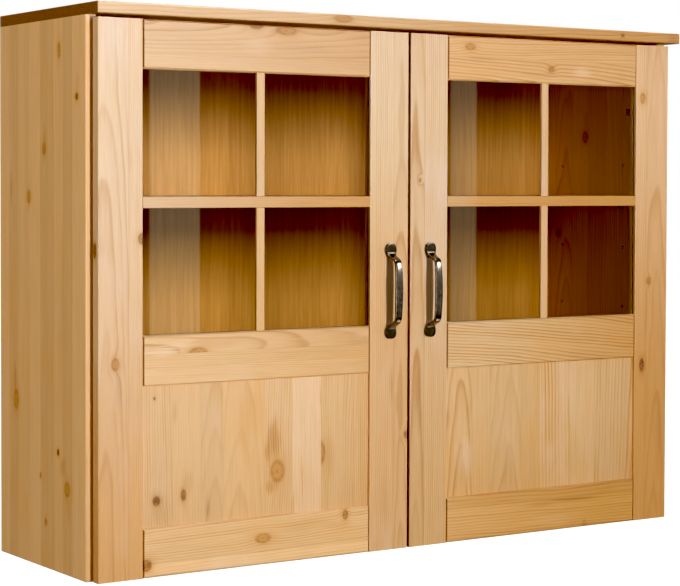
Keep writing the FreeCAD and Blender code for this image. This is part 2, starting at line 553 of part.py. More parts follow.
door = {
    "door_hinge_stile": hinge_stile,
    "door_handle_stile": handle_stile,
    "door_top_rail": top_rail,
    "door_middle_rail": mid_rail,
    "door_bottom_rail": bottom_rail,
    "door_panel": panel,
    "door_glass": glass,
    "door_glazing_bar_horizontal": bar_h,
    "door_glazing_bar_upper": bar_up,
    "door_glazing_bar_lower": bar_low,
    "door_glass_beads": solids(beads),
    "door_rail_dowels": solids(door_dowels),
    "door_handle": handle,
    "door_handle_screws": solids(handle_screws),
    "hinge_cups": solids(cups),
    "hinge_pins": solids(hpins),
    "hinge_cup_screws": solids(cup_screws),
    "hinge_arms": solids(arms),
    "hinge_plates": solids(plates),
    "hinge_plate_screws": solids(plate_screws),
}
for name, shape in door.items():
    save("left_" + name, shape)
    save("right_" + name, mirrored(shape))
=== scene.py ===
import json
import math
import random

import bpy
import numpy as np
from mathutils import Matrix, Vector

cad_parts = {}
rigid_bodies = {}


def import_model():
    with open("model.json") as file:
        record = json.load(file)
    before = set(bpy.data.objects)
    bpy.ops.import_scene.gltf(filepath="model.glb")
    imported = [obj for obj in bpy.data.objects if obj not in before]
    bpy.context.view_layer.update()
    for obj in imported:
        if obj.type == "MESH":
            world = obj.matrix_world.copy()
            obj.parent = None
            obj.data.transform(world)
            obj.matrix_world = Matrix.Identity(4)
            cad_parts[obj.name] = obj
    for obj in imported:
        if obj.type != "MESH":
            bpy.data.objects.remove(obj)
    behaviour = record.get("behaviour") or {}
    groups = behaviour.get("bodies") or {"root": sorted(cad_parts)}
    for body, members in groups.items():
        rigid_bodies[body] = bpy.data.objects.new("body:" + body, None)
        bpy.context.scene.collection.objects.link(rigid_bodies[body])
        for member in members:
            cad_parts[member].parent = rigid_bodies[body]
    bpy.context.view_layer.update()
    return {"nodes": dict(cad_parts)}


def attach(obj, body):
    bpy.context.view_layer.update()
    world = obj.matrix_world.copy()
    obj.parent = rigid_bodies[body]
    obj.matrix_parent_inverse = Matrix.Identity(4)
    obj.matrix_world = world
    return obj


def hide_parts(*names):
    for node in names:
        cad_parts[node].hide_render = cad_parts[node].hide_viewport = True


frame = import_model()
NODES = frame["nodes"]

# heights in this file are in millimetres above the cabinet's underside
UNDER = 702.0


def hz(h):
    return h - UNDER


# ---------------------------------------------------------------------------
# node trees
# ---------------------------------------------------------------------------


class Tree:
    """A material's node tree, written as expressions."""

    def __init__(self, name):
        self.mat = bpy.data.materials.new(name)
        self.mat.use_nodes = True
        self.nt = self.mat.node_tree
        self.nt.nodes.clear()
        self.out = self.node("ShaderNodeOutputMaterial")

    def node(self, kind, **props):
        n = self.nt.nodes.new(kind)
        for k, v in props.items():
            setattr(n, k, v)
        return n

    def put(self, socket, value):
        if isinstance(value, bpy.types.NodeSocket):
            self.nt.links.new(value, socket)
        elif value is not None:
            socket.default_value = value

    def m(self, op, a, b=None, c=None, clamp=False):
        n = self.node("ShaderNodeMath", operation=op, use_clamp=clamp)
        for s, v in zip(n.inputs, (a, b, c)):
            if v is not None:
                self.put(s, v)
        return n.outputs[0]

    def add(self, a, b):
        return self.m("ADD", a, b)

    def sub(self, a, b):
        return self.m("SUBTRACT", a, b)

    def mul(self, a, b):
        return self.m("MULTIPLY", a, b)

    def mad(self, a, b, c):
        return self.m("MULTIPLY_ADD", a, b, c)

    def smooth(self, x, a, b, lo=0.0, hi=1.0):
        n = self.node("ShaderNodeMapRange", interpolation_type="SMOOTHSTEP")
        self.put(n.inputs["Value"], x)
        self.put(n.inputs["From Min"], a)
        self.put(n.inputs["From Max"], b)
        self.put(n.inputs["To Min"], lo)
        self.put(n.inputs["To Max"], hi)
        return n.outputs[0]

    def comb(self, x, y, z):
        n = self.node("ShaderNodeCombineXYZ")
        for s, v in zip(n.inputs, (x, y, z)):
            self.put(s, v)
        return n.outputs[0]

    def noise(self, vec, scale=1.0, detail=2.0, rough=0.5, out="Fac"):
        n = self.node("ShaderNodeTexNoise", noise_dimensions="3D")
        self.put(n.inputs["Vector"], vec)
        n.inputs["Scale"].default_value = scale
        n.inputs["Detail"].default_value = detail
        n.inputs["Roughness"].default_value = rough
        return n.outputs[out]

    def white(self, w):
        n = self.node("ShaderNodeTexWhiteNoise", noise_dimensions="1D")
        self.put(n.inputs["W"], w)
        return n.outputs["Value"]

    def ramp(self, f, stops, interp="LINEAR"):
        n = self.node("ShaderNodeValToRGB")
        r = n.color_ramp
        r.interpolation = interp
        while len(r.elements) < len(stops):
            r.elements.new(0.5)
        for e, (p, c) in zip(r.elements, stops):
            e.position = p
            e.color = (c, c, c, 1.0) if isinstance(c, (int, float)) else (*c, 1.0)
        self.put(n.inputs["Fac"], f)
        return n.outputs["Color"]

    def split(self, colour):
        n = self.node("ShaderNodeSeparateColor")
        self.put(n.inputs[0], colour)
        return n.outputs[0], n.outputs[1], n.outputs[2]

    def mix(self, f, a, b, mode="MIX"):
        n = self.node("ShaderNodeMix", data_type="RGBA", blend_type=mode)
        n.clamp_factor = True
        self.put(n.inputs[0], f)
        for s, v in ((n.inputs[6], a), (n.inputs[7], b)):
            self.put(s, (*v, 1.0) if isinstance(v, tuple) and len(v) == 3 else v)
        return n.outputs[2]

    def grey(self, v):
        n = self.node("ShaderNodeCombineColor")
        for s in n.inputs:
            self.put(s, v)
        return n.outputs[0]

    def bump(self, height, distance, strength):
        n = self.node("ShaderNodeBump")
        n.inputs["Strength"].default_value = strength
        n.inputs["Distance"].default_value = distance
        self.put(n.inputs["Height"], height)
        return n.outputs["Normal"]

    def principled(self, colour, rough, normal=None, **fixed):
        n = self.node("ShaderNodeBsdfPrincipled")
        self.put(n.inputs["Base Color"], colour)
        self.put(n.inputs["Roughness"], rough)
        if normal is not None:
            self.put(n.inputs["Normal"], normal)
        for k, v in fixed.items():
            n.inputs[k.replace("_", " ")].default_value = v
        self.nt.links.new(n.outputs[0], self.out.inputs["Surface"])
        return n


# ---------------------------------------------------------------------------
# pine
# ---------------------------------------------------------------------------

EARLY = (0.830, 0.520, 0.250)       # pale wood between the rings
LATE = (0.600, 0.262, 0.060)        # latewood
PINK = (0.870, 0.590, 0.360)        # pale sapwood
GOLD = (0.760, 0.395, 0.125)        # resinous heartwood
AMBER = (0.600, 0.255, 0.022)       # resin around a knot
KNOT_TAN = (0.620, 0.305, 0.078)
KNOT_RED = (0.400, 0.130, 0.004)
KNOT_DARK = (0.135, 0.036, 0.000)
SMEAR = (0.490, 0.185, 0.004)


class Lam:
    """One glued strip: where it starts across the board, its pith, ring gap and tone."""

    def __init__(self, start, pith, depth=35.0, gap=4.0, tone=1.0, con=0.5, warm=0.5):
        self.start, self.pith, self.depth, self.gap = start, pith, depth, gap
        self.tone, self.con, self.warm = tone, con, warm


def strips(lo, hi, width, seed, con=(0.3, 0.6), tone=(0.94, 1.05)):
    """A run of strips with seeded variation."""
    rng = random.Random(seed)
    out, u = [], lo
    while u < hi - 0.35 * width:
        w = width * rng.uniform(0.82, 1.18)
        flat = rng.random() < 0.45
        pith = u + w * rng.uniform(0.2, 0.8) if flat else u + rng.choice((-1, 1)) * rng.uniform(70, 160)
        out.append(Lam(u, pith, rng.uniform(18, 55), rng.uniform(2.8, 5.2), rng.uniform(*tone),
                       rng.uniform(*con), rng.uniform(0.3, 0.7)))
        u += w
    return out


def pine(name, axes, face, lams, knots=(), smears=(), seed=0.0, slope=0.0, taper=0.03, wave=5.0,
         shade=1.0, lref=0.0, coat=0.25, gloss=0.5, film=0.40, fine=1.0,
         turn=None, dull=None, under=None, cast=None):
    """Solid pine. axes names the object axes along the grain, across the face and into the board.

    Rings are circles about each strip's pith, so a face shows lines or arches and an end shows arcs.
    knots: (along, across, half length, half width, darkness[, strip]); in place of the strip,
    ('at', depth position, half depth) puts a knot on an edge.
    smears: (along, across, half length, half width, strength).
    turn: (along from, along to, colour) shifts the hue along the board; cast shifts the whole board. Both are partly
    wood tone and partly painted light: they make boards paler towards the top and left, where the lacquer's sheen
    falls, and more golden towards the bottom and right.
    under: (depth, factor) darkens everything deeper than depth by factor, as painted shade.
    dull: (along, across, half length, half width) is a rougher patch behind a pull, painted yellower and darker as a
    painted shadow, which warms the pull's shadow.
    """
    t = Tree(name)
    tc = t.node("ShaderNodeTexCoord")
    sep = t.node("ShaderNodeSeparateXYZ")
    t.put(sep.inputs[0], tc.outputs["Object"])
    nsep = t.node("ShaderNodeSeparateXYZ")
    t.put(nsep.inputs[0], tc.outputs["Normal"])
    pick = ["XYZ".index(a) for a in axes]
    l, u, d = (t.mul(sep.outputs[i], 1000.0) for i in pick)
    into = t.m("ABSOLUTE", t.sub(d, face))

    # which strip
    n = len(lams)
    lo, hi = min(x.start for x in lams) - 300.0, max(x.start for x in lams) + 300.0
    if n > 1:
        index, near = 0.0, 1e3
        for x in lams[1:]:
            index = t.add(index, t.m("GREATER_THAN", u, x.start))
            near = t.m("MINIMUM", near, t.m("ABSOLUTE", t.sub(u, x.start)))
        at = t.mad(index, 1.0 / n, 0.5 / n)
        ra = t.split(t.ramp(at, [(i / n, ((x.pith - lo) / (hi - lo), x.depth / 100.0, x.gap / 10.0))
                                 for i, x in enumerate(lams)], "CONSTANT"))
        rb = t.split(t.ramp(at, [(i / n, (x.tone / 2.0, x.con / 2.0, x.warm)) for i, x in enumerate(lams)],
                            "CONSTANT"))
        pith = t.mad(ra[0], hi - lo, lo)
        depth, gap = t.mul(ra[1], 100.0), t.mul(ra[2], 10.0)
        tone, con, warm = t.mul(rb[0], 2.0), t.mul(rb[1], 2.0), rb[2]
        seam = t.smooth(near, 0.15, 0.75, 1.0, 0.0)
        shift = t.mad(index, 37.0, seed * 13.7)
    else:
        x = lams[0]
        pith, depth, gap, tone, con, warm = x.pith, x.depth, x.gap, x.tone, x.con, x.warm
        index, seam, shift = 0.0, None, seed * 13.7

    # slow wander of the grain
    wander = t.noise(t.comb(t.mad(l, 0.0042, shift), t.mad(u, 0.016, seed), t.mul(d, 0.016)), 1.0, 2.0, 0.45, "Color")
    w1, w2, w3 = t.split(wander)
    u2 = t.mad(t.sub(w1, 0.5), wave * 2.0, t.mad(l, slope, u) if slope else u)

    # knots and smears
    q = grim = None
    for k in knots:
        l0, u0, rl, ru, dark = k[:5]
        extra = k[5] if len(k) > 5 else None
        a = t.mad(l, 1.0 / rl, -l0 / rl)
        b = t.mad(u, 1.0 / ru, -u0 / ru)
        qq = t.mad(b, b, t.mul(a, a))
        if isinstance(extra, tuple):
            c = t.mad(d, 1.0 / extra[2], -extra[1] / extra[2])
            qq = t.mad(c, c, qq)
        elif extra is not None and n > 1:
            qq = t.mad(t.m("ABSOLUTE", t.sub(index, float(extra))), 60.0, qq)
        if q is None:
            q, grim = qq, dark
        else:
            nearer = t.m("LESS_THAN", qq, q)
            grim = t.mad(nearer, t.sub(dark, grim), grim)
            q = t.m("MINIMUM", q, qq)
    ragged = t.noise(t.comb(t.mul(l, 0.10), t.mad(u, 0.16, seed), t.mul(d, 0.16)), 1.0, 2.0, 0.6)
    torn = t.noise(t.comb(t.mad(l, 0.30, seed), t.mul(u, 0.55), t.mul(d, 0.55)), 1.0, 2.0, 0.6)

    across = t.sub(u2, pith)
    deep = t.add(into, t.add(depth, t.mad(t.mad(l, 1.0, -lref), taper, t.mul(t.sub(w2, 0.5), wave * 2.4))))
    radius = t.m("SQRT", t.mad(across, across, t.mul(deep, deep)))
    if q is not None:
        k = t.add(t.m("SQRT", q), t.add(t.mul(t.sub(ragged, 0.5), 0.50), t.mul(t.sub(torn, 0.5), 0.65)))
        swell = t.m("EXPONENT", t.mul(q, -0.22))
        radius = t.mad(swell, t.mad(grim, 2.5, 4.0), radius)

    # rings
    phase = t.add(t.m("DIVIDE", radius, gap), t.mul(t.sub(w3, 0.5), 1.6))
    ring = t.m("FLOOR", phase)
    f = t.sub(phase, ring)
    late = t.ramp(f, [(0.0, 0.12), (0.10, 0.0), (0.42, 0.08), (0.70, 0.40), (0.88, 1.0), (0.95, 0.75), (1.0, 0.12)])
    each = t.white(t.add(ring, shift))
    late = t.mul(late, t.mad(each, 0.75, 0.35))

    # fibre and slow colour drift
    fibre = t.noise(t.comb(t.mad(l, 0.022, shift), t.mul(u, 0.75), t.mul(d, 0.75)), 1.0, 3.0, 0.65)
    streak = t.noise(t.comb(t.mad(l, 0.006, shift), t.mad(u, 0.17, seed), t.mul(d, 0.17)), 1.0, 3.0, 0.6)
    drift = t.noise(t.comb(t.mad(l, 0.009, shift), t.mad(u, 0.022, seed + 3.0), t.mul(d, 0.02)), 1.0, 2.0, 0.5)

    colour = t.mix(t.m("MULTIPLY", late, t.mul(con, 1.62), clamp=True), EARLY, LATE)
    hue = t.add(warm, t.add(t.mul(t.sub(drift, 0.5), 1.15), t.mul(t.sub(streak, 0.5), 0.8)))
    colour = t.mix(t.smooth(hue, 0.45, 0.0, 0.0, 0.85), colour, t.mix(1.0, colour, PINK, "LIGHTEN"))
    colour = t.mix(t.smooth(hue, 0.55, 1.05, 0.0, 0.8), colour, t.mix(0.75, colour, GOLD))
    level = t.add(1.0, t.add(t.mul(t.sub(fibre, 0.5), 0.23 * fine),
                             t.add(t.mul(t.sub(streak, 0.5), 0.18), t.mul(t.sub(drift, 0.5), 0.10))))
    if seam is not None:
        level = t.mul(level, t.mad(seam, -0.07, 1.0))
    flame = t.add(t.mul(t.sub(streak, 0.5), 1.3), t.mul(t.sub(fibre, 0.5), 1.5))
    marked = 0.0
    for l0, u0, rl, ru, power in smears:
        a = t.mad(l, 1.0 / rl, -l0 / rl)
        b = t.mad(u2, 1.0 / ru, -u0 / ru)
        g = t.m("EXPONENT", t.mul(t.mad(b, b, t.mul(a, a)), -0.8))
        g = t.mul(t.m("POWER", g, 0.6), t.smooth(t.mad(flame, 1.2, g), 0.25, 1.05))
        if power >= 0:
            g = t.m("MULTIPLY", g, t.mad(late, 1.1, 0.62), clamp=True)
            colour = t.mix(t.mul(g, power), colour, SMEAR)
            marked = t.mad(g, power, marked)
        else:
            colour = t.mix(t.mul(g, -power), colour, PINK)

    height = t.mad(late, 0.35, t.mul(fibre, 0.5))
    if q is not None:
        halo = t.mul(t.m("EXPONENT", t.mul(q, -0.36)), t.mad(grim, 0.35, 0.50))
        halo = t.m("MULTIPLY", halo, t.mad(t.sub(streak, 0.5), 1.4, 1.0), clamp=True)
        colour = t.mix(halo, colour, AMBER)
        rings = t.m("SINE", t.mul(k, 17.0))
        heart = t.mix(t.mad(rings, 0.25, 0.30), KNOT_TAN, AMBER)
        heart = t.mix(t.smooth(k, 0.30, 0.05, 0.0, 0.75), heart, KNOT_RED)
        patchy = t.add(torn, t.mul(t.sub(ragged, 0.5), 0.9))
        black = t.mix(t.smooth(patchy, 0.36, 0.60), t.mix(0.45, KNOT_RED, AMBER), KNOT_DARK)
        heart = t.mix(t.smooth(grim, 0.15, 0.65), heart, black)
        core = t.smooth(k, 1.15, 0.80)
        colour = t.mix(t.mul(core, t.mad(grim, 0.22, 0.72)), colour, heart)
        edge = t.sub(k, 0.95)
        rim = t.m("EXPONENT", t.mul(t.mul(edge, edge), -15.0))
        rim = t.mul(rim, t.smooth(patchy, 0.28, 0.66, 0.12, 1.0))
        colour = t.mix(t.mul(rim, t.mad(grim, 0.10, 0.80)), colour, t.mix(grim, t.mix(0.55, AMBER, KNOT_RED), KNOT_DARK))
        height = t.mad(core, 0.5, height)
        marked = t.add(marked, t.m("MAXIMUM", t.mul(core, 0.8), rim))

    # sawn ends are darker and show the pores
    end = t.smooth(t.m("ABSOLUTE", nsep.outputs[pick[0]]), 0.35, 0.72)
    pores = t.noise(t.comb(t.mul(l, 0.9), t.mul(u, 0.9), t.mul(d, 0.9)), 1.0, 2.0, 0.7)
    sawn = t.mix(1.0, colour, t.mix(t.smooth(pores, 0.35, 0.7), (0.34, 0.20, 0.06), (0.62, 0.44, 0.22)), "MULTIPLY")
    colour = t.mix(end, colour, sawn)

    # cast and turn: partly wood tone, partly painted light (paler where the sheen falls, more golden away from it)
    if cast is not None:
        colour = t.mix(1.0, colour, cast, "MULTIPLY")
    if turn is not None:
        colour = t.mix(t.smooth(l, turn[0], turn[1]), colour, t.mix(1.0, colour, turn[2], "MULTIPLY"))
    # painted shadow behind the pull: the patch is made yellower and darker where the pull's shadow falls, and rougher
    if dull is not None:
        a = t.smooth(t.m("ABSOLUTE", t.sub(l, dull[0])), dull[2] + 4.0, dull[2] - 4.0)
        b = t.smooth(t.m("ABSOLUTE", t.sub(u, dull[1])), dull[3] + 1.2, dull[3] - 1.2)
        dull_and_painted_shadow = t.mul(t.mul(a, b), t.smooth(into, 1.0, 0.2))
        colour = t.mix(dull_and_painted_shadow, colour, t.mix(1.0, colour, (0.95, 0.80, 0.45), "MULTIPLY"))
    # painted shade: everything deeper than the given depth is darkened
    if under is not None:
        colour = t.mix(t.smooth(into, under[0] - 0.5, under[0]), colour, t.mix(1.0, colour, (under[1],) * 3, "MULTIPLY"))
    # darker streaks are also yellower
    n2 = t.node("ShaderNodeCombineColor")
    whole = t.mul(tone, shade)
    t.put(n2.inputs[0], t.mul(level, whole))
    t.put(n2.inputs[1], t.mul(t.m("POWER", level, 1.5), whole))
    t.put(n2.inputs[2], t.mul(t.m("POWER", level, 2.5), whole))
    colour = t.mix(1.0, colour, n2.outputs[0], "MULTIPLY")
    rough = t.add(t.mad(t.sub(streak, 0.5), 0.12, 0.44), t.mad(late, -0.05, t.mul(end, 0.16)))
    if not isinstance(marked, float):
        rough = t.mad(t.m("MINIMUM", marked, 1.0), 0.36, rough)
    if dull is not None:
        rough = t.m("MINIMUM", t.mad(dull_and_painted_shadow, 0.56, rough), 1.0)
    normal = t.bump(height, 0.00025, 0.35)
    t.principled(colour, rough, normal, Coat_Weight=coat, Coat_Roughness=film, Coat_IOR=1.5,
                 Specular_IOR_Level=gloss)
    return t.mat


def wear(node, material):
    """Gives a node's object one material."""
    o = NODES[node]
    o.data.materials.clear()
    o.data.materials.append(material)


# ------------------------------------------------------------- door frames, left

# cast and turn on these boards are partly painted light: paler towards the top and left, where the sheen falls, more
# golden towards the bottom and right; the handle stile's dull patch is a painted shadow behind the pull
wear("left_door_hinge_stile", pine(
    "pine_left_hinge_stile", "ZXY", -280.0,
    [Lam(-484.0, -474.0, 46.0, 5.0, 1.01, 0.34, 0.42), Lam(-439.5, -330.0, 24.0, 3.0, 1.03, 0.30, 0.44)],
    knots=[(hz(438.6), -420.5, 6.5, 5.0, 0.45), (hz(278.6), -458.7, 7.5, 5.0, 0.10),
           (hz(424.0), -483.0, 9.0, 7.0, 0.75, ("at", -270.5, 4.0))],
    smears=[(hz(250.0), -455.0, 34.0, 7.0, 0.30), (hz(540.0), -437.0, 26.0, 4.0, 0.28), (hz(690.0), -462.0, 60.0, 16.0, -0.4)],
    cast=(0.907, 0.978, 1.20), turn=(hz(560.0), hz(20.0), (0.98, 0.77, 0.46)), seed=1.0))
wear("left_door_handle_stile", pine(
    "pine_left_handle_stile", "ZXY", -280.0,
    [Lam(-66.5, -150.0, 30.0, 3.4, 1.02, 0.34, 0.42), Lam(-27.0, -14.0, 30.0, 4.8, 0.99, 0.42, 0.60)],
    knots=[(hz(159.3), -3.5, 5.0, 4.0, 0.55)],
    smears=[(hz(229.0), -29.0, 30.0, 5.5, 0.50), (hz(205.0), -22.0, 18.0, 5.0, 0.35), (hz(70.0), -40.0, 50.0, 10.0, 0.22)],
    coat=0.0, gloss=0.80, dull=(hz(361.0), -32.7, 44.0, 5.4), cast=(0.965, 1.08, 1.34), turn=(hz(620.0), hz(320.0), (0.955, 0.80, 0.60)), seed=2.0, wave=6.5))
wear("left_door_top_rail", pine(
    "pine_left_top_rail", "XZY", -280.0,
    [Lam(hz(656.0), hz(560.0), 26.0, 3.2, 1.03, 0.22, 0.46), Lam(hz(676.5), hz(722.0), 30.0, 4.6, 1.0, 0.46, 0.56)],
    knots=[(-249.5, hz(719.5), 10.0, 5.0, 0.45), (-203.0, hz(714.0), 15.0, 5.5, 0.15)],
    smears=[(-176.0, hz(690.0), 70.0, 9.0, 0.25), (-250.0, hz(690.0), 26.0, 12.0, -0.5)],
    shade=0.93, cast=(0.92, 0.905, 0.92), turn=(-300.0, -90.0, (1.0, 0.94, 0.86)), seed=3.0, lref=-240.0, taper=0.05))
wear("left_door_middle_rail", pine(
    "pine_left_middle_rail", "XZY", -280.0,
    [Lam(hz(247.0), hz(190.0), 24.0, 2.8, 1.02, 0.26, 0.40), Lam(hz(271.5), hz(160.0), 24.0, 3.0, 1.0, 0.32, 0.54),
     Lam(hz(289.0), hz(292.0), 30.0, 5.2, 0.99, 0.55, 0.50)],
    knots=[(-338.0, hz(288.5), 12.5, 6.5, 0.20, 2)],
    smears=[(-300.0, hz(300.0), 30.0, 8.0, 0.30), (-388.0, hz(294.0), 26.0, 10.0, -0.9), (-360.0, hz(303.0), 26.0, 7.0, -0.6), (-75.0, hz(300.0), 30.0, 8.0, -0.6)],
    turn=(-330.0, -60.0, (0.92, 0.86, 0.77)), seed=4.0, lref=-340.0, taper=0.06))
wear("left_door_bottom_rail", pine(
    "pine_left_bottom_rail", "XZY", -280.0,
    [Lam(hz(-1.0), hz(-70.0), 26.0, 4.4, 1.05, 0.22, 0.36), Lam(hz(17.5), hz(130.0), 24.0, 3.6, 0.98, 0.50, 0.58)],
    knots=[(-238.0, hz(35.5), 11.0, 6.0, 0.05), (-106.0, hz(55.5), 4.0, 6.0, 0.40), (-414.0, hz(16.5), 7.0, 7.0, 0.55)],
    smears=[(-180.0, hz(50.0), 50.0, 9.0, 0.30), (-120.0, hz(46.0), 30.0, 7.0, 0.25), (-300.0, hz(5.0), 60.0, 4.0, 0.18)],
    shade=1.08, seed=5.0, slope=-0.02))
wear("left_door_panel", pine(
    "pine_left_panel", "ZXY", -275.5,
    [Lam(-428.0, -520.0, 24.0, 3.6, 0.97, 0.42, 0.54), Lam(-373.5, -450.0, 30.0, 3.2, 0.98, 0.24, 0.48),
     Lam(-330.0, -308.0, 44.0, 5.0, 0.945, 0.22, 0.50), Lam(-298.0, -274.0, 34.0, 5.4, 1.01, 0.20, 0.64),
     Lam(-234.0, -130.0, 30.0, 3.6, 1.0, 0.45, 0.38), Lam(-189.5, -260.0, 26.0, 4.4, 1.03, 0.72, 0.06),
     Lam(-143.0, -60.0, 34.0, 3.4, 0.98, 0.30, 0.56), Lam(-92.0, -190.0, 24.0, 3.2, 0.99, 0.48, 0.54)],
    knots=[(hz(123.0), -213.0, 14.0, 10.0, 0.08, 4), (hz(143.0), -143.5, 14.0, 6.5, 0.22, 6),
           (hz(98.2), -397.0, 6.0, 5.0, 0.55), (hz(102.7), -357.0, 7.0, 3.6, 0.50), (hz(231.5), -400.0, 1.8, 1.2, 0.9)],
    smears=[(hz(166.0), -218.0, 30.0, 13.0, 0.85), (hz(150.0), -229.0, 18.0, 6.0, 0.7), (hz(103.0), -224.0, 10.0, 12.0, 0.60), (hz(82.0), -322.0, 22.0, 6.0, 0.55),
            (hz(84.0), -392.0, 26.0, 14.0, 0.30), (hz(120.0), -350.0, 18.0, 10.0, 0.30), (hz(212.0), -370.0, 20.0, 4.0, 0.40),
            (hz(134.0), -128.0, 34.0, 9.0, 0.30), (hz(205.0), -262.0, 55.0, 22.0, 0.22)],
    turn=(hz(190.0), hz(60.0), (0.96, 0.93, 0.87)), seed=6.0, lref=hz(70.0), taper=0.055))

# ------------------------------------------------------------ door frames, right

# cast and turn on these boards are partly painted light: paler towards the top, where the sheen falls, more golden
# towards the bottom and right; the handle stile's dull patch is a painted shadow behind the pull
wear("right_door_handle_stile", pine(
    "pine_right_handle_stile", "ZXY", -280.0,
    [Lam(1.0, 12.0, 34.0, 5.2, 0.985, 0.46, 0.64), Lam(26.0, -120.0, 26.0, 3.5, 1.03, 0.50, 0.40)],
    knots=[(hz(515.0), 18.0, 3.0, 2.0, 0.3)],
    smears=[(hz(215.0), 14.0, 40.0, 6.0, 0.55), (hz(180.0), 18.0, 24.0, 5.0, 0.45), (hz(470.0), 12.0, 60.0, 5.0, 0.25)],
    coat=0.0, gloss=0.80, dull=(hz(361.0), 35.2, 44.0, 5.4), cast=(0.965, 1.05, 1.30), turn=(hz(600.0), hz(20.0), (0.91, 0.80, 0.58)), seed=7.0, wave=4.0))
wear("right_door_hinge_stile", pine(
    "pine_right_hinge_stile", "ZXY", -280.0,
    [Lam(416.0, 380.0, 26.0, 3.4, 0.975, 0.34, 0.56), Lam(440.0, 462.0, 44.0, 5.0, 0.955, 0.36, 0.62)],
    knots=[(hz(640.0), 432.0, 7.0, 4.5, 0.18), (hz(363.6), 446.0, 5.0, 3.6, 0.12), (hz(236.0), 433.5, 9.0, 4.2, 0.85)],
    smears=[(hz(130.0), 470.0, 60.0, 12.0, 0.22), (hz(590.0), 455.0, 50.0, 8.0, 0.20)],
    cast=(1.10, 1.12, 1.30), turn=(hz(660.0), hz(190.0), (0.79, 0.64, 0.37)), shade=1.05, seed=8.0))
wear("right_door_top_rail", pine(
    "pine_right_top_rail", "XZY", -280.0,
    [Lam(hz(655.0), hz(640.0), 30.0, 4.4, 0.99, 0.52, 0.58), Lam(hz(690.0), hz(790.0), 30.0, 3.6, 1.0, 0.46, 0.58)],
    knots=[(105.5, hz(705.0), 8.0, 4.5, 0.12), (254.0, hz(677.5), 5.0, 4.0, 0.35)],
    smears=[(312.0, hz(677.0), 22.0, 10.0, -0.7), (120.0, hz(690.0), 40.0, 8.0, 0.25), (230.0, hz(670.0), 40.0, 5.0, 0.30)],
    shade=1.02, cast=(1.0, 0.95, 0.88), seed=9.0, lref=250.0, taper=0.06))
wear("right_door_middle_rail", pine(
    "pine_right_middle_rail", "XZY", -280.0,
    [Lam(hz(246.0), hz(150.0), 26.0, 4.6, 1.0, 0.78, 0.50)],
    smears=[(120.0, hz(262.0), 70.0, 10.0, -0.3), (330.0, hz(290.0), 70.0, 12.0, 0.18)],
    cast=(1.0, 1.06, 1.15), turn=(90.0, 460.0, (0.90, 0.74, 0.47)), seed=10.0, slope=0.10, wave=7.0))
wear("right_door_bottom_rail", pine(
    "pine_right_bottom_rail", "XZY", -280.0,
    [Lam(hz(-1.0), hz(-90.0), 26.0, 4.2, 0.99, 0.48, 0.56), Lam(hz(47.0), hz(140.0), 30.0, 5.0, 0.93, 0.46, 0.78)],
    smears=[(300.0, hz(47.0), 60.0, 4.5, 0.70), (240.0, hz(44.0), 40.0, 4.0, 0.50), (322.0, hz(8.0), 7.0, 12.0, 0.60),
            (260.0, hz(20.0), 50.0, 12.0, -0.45)],
    cast=(1.05, 1.03, 0.96), turn=(-200.0, 430.0, (0.86, 0.74, 0.48)), seed=11.0, slope=0.015))
wear("right_door_panel", pine(
    "pine_right_panel", "ZXY", -275.5,
    [Lam(58.0, 92.0, 34.0, 4.6, 0.985, 0.44, 0.52), Lam(114.5, 40.0, 28.0, 3.4, 0.985, 0.26, 0.56),
     Lam(147.0, 181.0, 46.0, 5.2, 0.945, 0.36, 0.48), Lam(205.0, 290.0, 28.0, 3.6, 0.98, 0.30, 0.74),
     Lam(239.0, 180.0, 26.0, 6.0, 1.02, 0.75, 0.38), Lam(296.0, 390.0, 28.0, 3.4, 0.995, 0.24, 0.34),
     Lam(344.0, 432.0, 26.0, 5.6, 0.97, 0.42, 0.42)],
    smears=[(hz(186.0), 108.0, 26.0, 6.0, 0.35), (hz(175.0), 70.0, 18.0, 8.0, 0.35), (hz(118.0), 104.0, 34.0, 16.0, -0.9),
            (hz(118.0), 190.0, 30.0, 14.0, -0.3), (hz(200.0), 300.0, 40.0, 14.0, -0.25)],
    turn=(hz(190.0), hz(60.0), (0.94, 0.88, 0.76)), seed=12.0, lref=hz(150.0), taper=0.05))

# --------------------------------------------------------------- glazing bars

for side, warm, up_warm, x_mid in (("left", 0.58, 0.36, -242.5), ("right", 0.86, 0.36, 242.5)):
    left = side == "left"
    k = 13.0 if left else 17.0
    # turn leaves each horizontal bar paler towards its left end: a painted reflection of the bright card in the pane
    wear(side + "_door_glazing_bar_horizontal", pine(
        "pine_%s_bar_horizontal" % side, "XZY", -280.0, [Lam(hz(470.0), hz(420.0), 22.0, 3.2, 1.0, 0.30, warm)],
        smears=[(x_mid + 60.0, hz(484.0), 40.0, 4.0, 0.25)], seed=k, coat=0.0, gloss=0.72,
        shade=0.94 if left else 0.92, cast=(0.96, 1.0, 1.15) if left else (0.995, 1.0, 1.10),
        turn=(-420.0, -80.0, (0.965, 0.79, 0.54)) if left else (88.0, 138.0, (0.98, 0.84, 0.56))))
    wear(side + "_door_glazing_bar_upper", pine(
        "pine_%s_bar_upper" % side, "ZXY", -280.0, [Lam(x_mid - 10.0, x_mid - 70.0, 22.0, 3.0, 1.02, 0.26, up_warm)],
        cast=(0.88, 0.87, 0.86) if left else (0.99, 1.0, 1.10), seed=k + 1.0))
    wear(side + "_door_glazing_bar_lower", pine(
        "pine_%s_bar_lower" % side, "ZXY", -280.0, [Lam(x_mid - 10.0, x_mid + 60.0, 22.0, 3.0, 1.0, 0.26, up_warm + 0.06)],
        cast=(0.915, 0.89, 0.81) if left else (0.98, 0.96, 1.03), seed=k + 2.0))
    wear(side + "_door_glass_beads", pine(
        "pine_%s_beads" % side, "ZXY", -265.0, [Lam(-900.0, x_mid - 400.0, 30.0, 3.2, 0.98, 0.34, 0.55)], seed=k + 3.0))

# ---------------------------------------------------------------------- carcass

